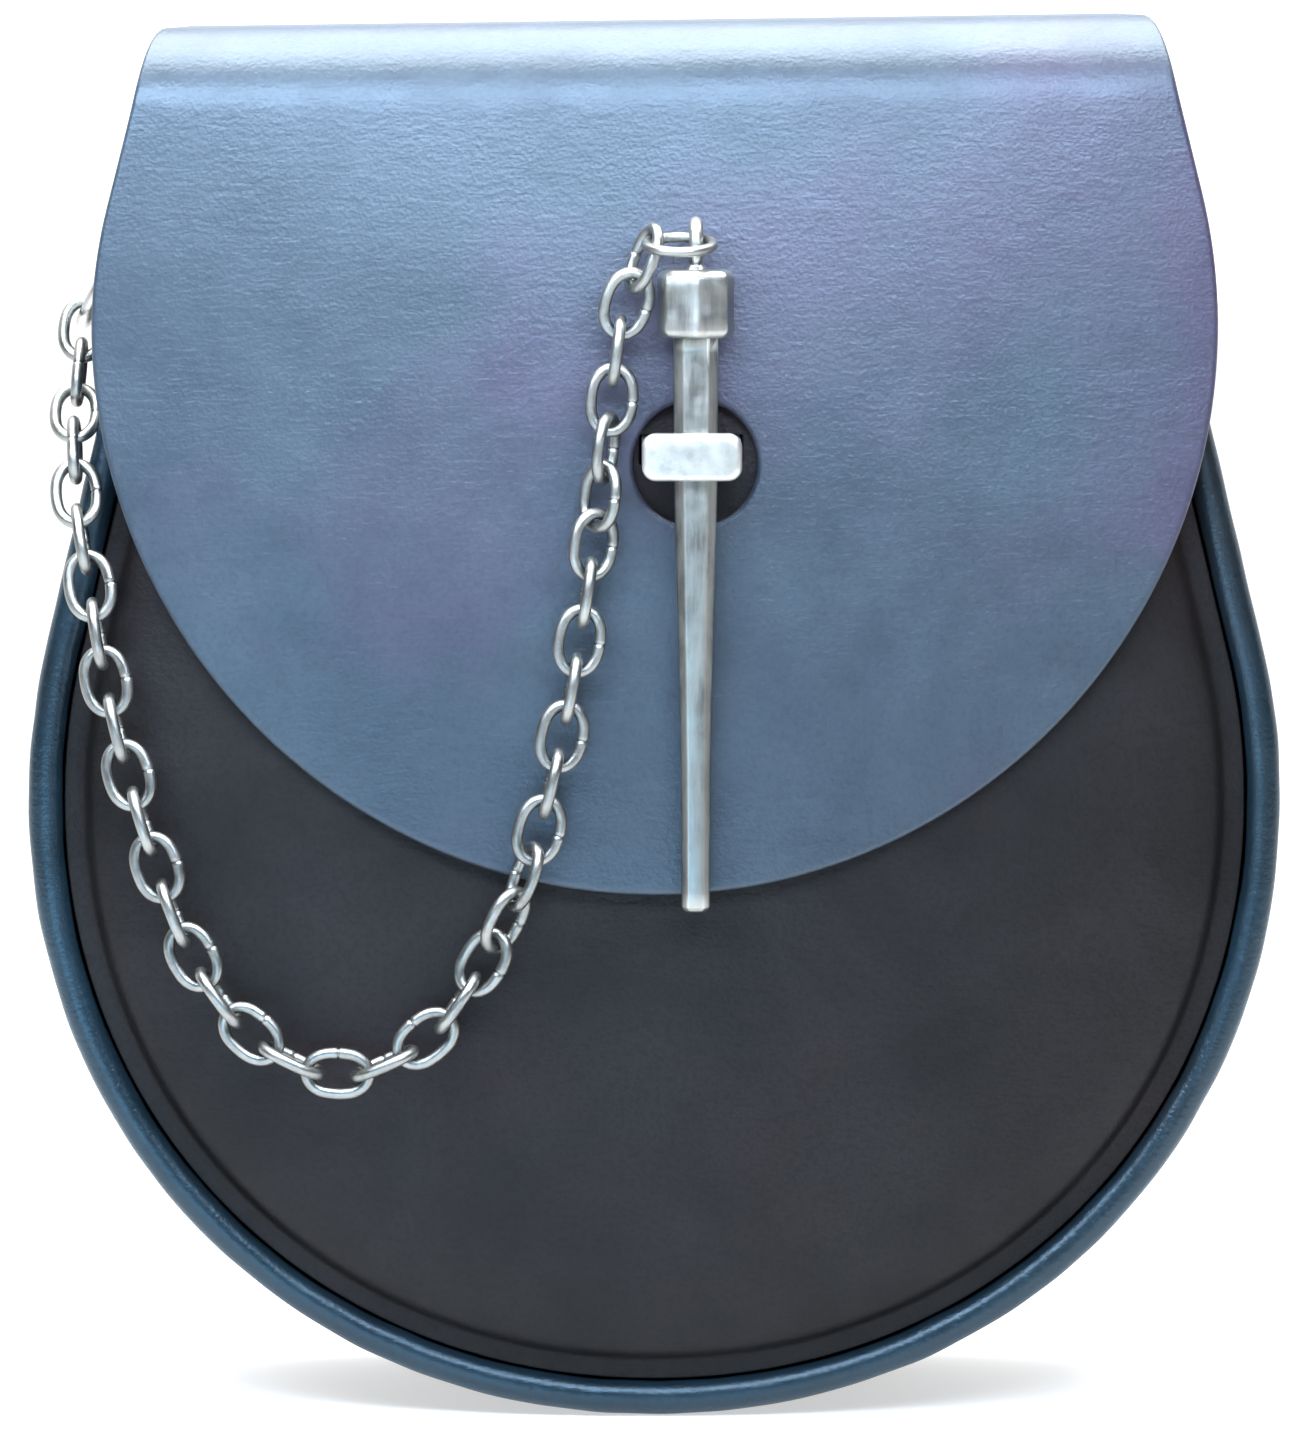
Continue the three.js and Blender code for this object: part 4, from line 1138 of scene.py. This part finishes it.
def round_ring(centre, along, across, normal, half_long, half_wide, wire, steps=56):
    """A closed ring or oval link of round wire, butt-joined in the middle of one side."""
    stretch = half_long - half_wide
    angles = [2 * math.pi * k / steps for k in range(steps)]
    joint = math.pi / 2
    angles += [joint - 0.045, joint - 0.015, joint + 0.015, joint + 0.045]
    angles = sorted(set(round(a, 6) for a in angles))

    def centre_line(a):
        c = math.cos(a)
        blunt = math.sqrt(abs(c)) if abs(c) > LINK_BLUNT else c / math.sqrt(LINK_BLUNT)
        x = half_wide * c + stretch * math.copysign(blunt, c)
        return centre + along * x + across * half_wide * math.sin(a)

    loops = []
    for a in angles:
        point = centre_line(a)
        tangent = (centre_line(a + 0.02) - centre_line(a - 0.02)).normalized()
        up = normal.cross(tangent)
        near = abs(a - joint)
        radius = wire / 2 * (0.84 if near < 0.02 else 1.0)
        loop = []
        for k in range(WIRE_SIDES):
            b = 2 * math.pi * k / WIRE_SIDES
            loop.append(point + (normal * math.cos(b) + up * math.sin(b)) * radius)
        loops.append(loop)
    return loft(loops, True)


def make_chain():
    for name in sorted(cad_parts):
        if not name.startswith("link_"):
            continue
        centre, along, across, normal = axes_of(name)
        half_long = (LINK_LENGTH - LINK_WIRE) / 2
        half_wide = (LINK_WIDTH - LINK_WIRE) / 2
        verts, faces = round_ring(centre, along, across, normal, half_long, half_wide, LINK_WIRE)
        place_piece(new_object(f"chain_{name}", verts, faces, CHAIN_METAL), name)


def make_pin_ring():
    centre, along, across, normal = axes_of("pin_ring")
    verts, faces = round_ring(
        centre, along, across, normal, PIN_RING_RADIUS, PIN_RING_RADIUS, PIN_RING_WIRE, 72)
    place_piece(new_object("pin_ring_wire", verts, faces, CHAIN_METAL), "pin_ring")


# Keeper: a staple with a pillowed front bar

def make_keeper():
    low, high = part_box("keeper")
    front, back = low.y / MM, high.y / MM
    bar = []
    half = (KEEPER_WIDTH / 2, KEEPER_HEIGHT / 2)

    def rounded(inset):
        points = []
        radius = KEEPER_CORNER - inset * 0.4
        w, h = half[0] - inset, half[1] - inset
        for cx, cz, start in ((1, -1, -90), (1, 1, 0), (-1, 1, 90), (-1, -1, 180)):
            for i in range(7):
                a = math.radians(start + 15 * i)
                x = cx * (w - radius) + radius * math.cos(a)
                z = cz * (h - radius) + radius * math.sin(a)
                points.append((KEEPER_X + x, KEEPER_Z + z))
        return points

    for depth, inset in KEEPER_BEVEL + KEEPER_BACK_BEVEL:
        bar.append([Vector((x, front + depth, z)) for x, z in rounded(inset)])
    verts, faces = loft(bar)
    obj = new_object("keeper_metal", verts, faces, KEEPER_METAL_PAINTED_LIGHT)
    depth = back - front
    for side in (-1, 1):
        x = KEEPER_X + side * (KEEPER_WIDTH - KEEPER_LEG) / 2 - side * 0.05
        size = (KEEPER_LEG, depth - 1.0, KEEPER_LEG_HEIGHT)
        unite(obj, box_object("leg", size, (x, front + 1.0 + (depth - 1.0) / 2, KEEPER_Z)))
    plate = (KEEPER_WIDTH - 0.1, KEEPER_PLATE, KEEPER_HEIGHT - 0.2)
    unite(obj, box_object("plate", plate, (KEEPER_X, back - KEEPER_PLATE / 2, KEEPER_Z)))
    place_piece(obj, "keeper")


# Stage, light and camera

CAMERA_DISTANCE = 900.0
CAMERA_AZIMUTH = math.radians(-0.43)
CAMERA_ELEVATION = math.radians(7.6)
AIM = Vector((-0.14, -20.0, -55.8))
FRAME_HEIGHT = 211.0
FLOOR_GAP = 0.2
FLOOR_HALF = 2.5
FLOOR_GLOW = 0.55
ROOM_WHITE = (1.6, 1.6, 1.6, 1.0)


def make_camera():
    data = bpy.data.cameras.new("camera")
    camera = bpy.data.objects.new("camera", data)
    bpy.context.scene.collection.objects.link(camera)
    bpy.context.scene.camera = camera
    back = Vector((
        math.sin(CAMERA_AZIMUTH) * math.cos(CAMERA_ELEVATION),
        -math.cos(CAMERA_AZIMUTH) * math.cos(CAMERA_ELEVATION),
        math.sin(CAMERA_ELEVATION),
    ))
    camera.location = (AIM + back * CAMERA_DISTANCE) * MM
    camera.rotation_mode = "QUATERNION"
    camera.rotation_quaternion = (-back).to_track_quat("-Z", "Y")
    data.lens = data.sensor_width / 2 / (FRAME_HEIGHT / 2 / CAMERA_DISTANCE)
    data.clip_start, data.clip_end = 0.01, 20


def area_light(name, place, aim, size, power, color=(1, 1, 1)):
    data = bpy.data.lights.new(name, "AREA")
    data.shape = "RECTANGLE"
    data.size, data.size_y = size[0] * MM, size[1] * MM
    data.energy = power
    data.color = color
    light = bpy.data.objects.new(name, data)
    bpy.context.scene.collection.objects.link(light)
    light.visible_camera = False
    light.location = Vector(place) * MM
    light.rotation_mode = "QUATERNION"
    light.rotation_quaternion = (Vector(aim) - Vector(place)).to_track_quat("-Z", "Y")


def make_floor():
    floor_z = cad_low.z - FLOOR_GAP * MM
    n = Nodes("floor")
    tone = n.ramp(n.noise(3, 2, 0.5), [(0.0, 0.54), (1.0, 0.58)])
    material = n.finish(
        Base_Color=tone,
        Roughness=0.8,
        Emission_Color=(1.0, 1.0, 1.0),
        Emission_Strength=FLOOR_GLOW,
    )
    half = FLOOR_HALF
    mesh = bpy.data.meshes.new("floor")
    corners = [(-half, -half, floor_z), (half, -half, floor_z), (half, half, floor_z), (-half, half, floor_z)]
    mesh.from_pydata(corners, [], [(0, 1, 2, 3)])
    mesh.materials.append(material)
    floor = bpy.data.objects.new("floor", mesh)
    bpy.context.scene.collection.objects.link(floor)


def room_glow(tree, direction, stops):
    """The brightness of the room by how far a direction points the given way."""
    coords = tree.nodes.new("ShaderNodeTexCoord")
    toward = tree.nodes.new("ShaderNodeVectorMath")
    toward.operation = "DOT_PRODUCT"
    toward.inputs[1].default_value = direction
    tree.links.new(coords.outputs["Generated"], toward.inputs[0])
    ramp = tree.nodes.new("ShaderNodeValToRGB")
    for element, (place, value) in zip(ramp.color_ramp.elements, stops):
        element.position = place
        element.color = (value, value, value, 1.0)
    tree.links.new(toward.outputs["Value"], ramp.inputs["Fac"])
    return ramp.outputs["Color"]


def make_light():
    """A white room that lights from behind and overhead, and soft lights round the flap's top."""
    world = bpy.data.worlds.new("studio")
    world.use_nodes = True
    tree = world.node_tree
    total = tree.nodes.new("ShaderNodeMix")
    total.data_type = "RGBA"
    total.blend_type = "ADD"
    total.inputs[0].default_value = 1.0
    tree.links.new(room_glow(tree, (0.0, 1.0, 0.0), [(0.0, 0.0), (0.25, 1.2)]), total.inputs[6])
    tree.links.new(room_glow(tree, (0.0, 0.0, 1.0), [(0.45, 0.0), (0.9, 0.9)]), total.inputs[7])
    # The room itself looks white from every side
    seen = tree.nodes.new("ShaderNodeMix")
    seen.data_type = "RGBA"
    seen.inputs[7].default_value = ROOM_WHITE
    tree.links.new(tree.nodes.new("ShaderNodeLightPath").outputs["Is Camera Ray"], seen.inputs[0])
    tree.links.new(total.outputs[2], seen.inputs[6])
    tree.links.new(seen.outputs[2], tree.nodes["Background"].inputs["Color"])
    bpy.context.scene.world = world
    bpy.context.scene.view_settings.view_transform = "Standard"
    area_light("over_soft", (0, -45, 245), (0, -20, 45), (460, 150), 2.7, (1.0, 0.98, 0.94))
    area_light("back_soft", (0, 95, 245), (0, 0, 45), (460, 120), 1.25, (0.96, 0.98, 1.0))
    area_light("near_soft", (-34, -185, 92), (-6, -30, 20), (350, 75), 1.42, (0.75, 0.86, 1.0))
    area_light("low_soft", (-90, -300, -118), (-30, -30, -155), (220, 60), 0.22, (0.36, 0.72, 1.0))


make_camera()
make_panel()
make_gusset()
make_piping()
make_flap()
make_back_stitches()
for side_name, ring_side in (("left", -1), ("right", 1)):
    make_hanging_ring(f"ring_{side_name}", ring_side)
    make_tab(f"ring_tab_{side_name}", ring_side)
make_keeper()
make_pin()
make_pin_ring()
make_chain()
make_floor()
make_light()
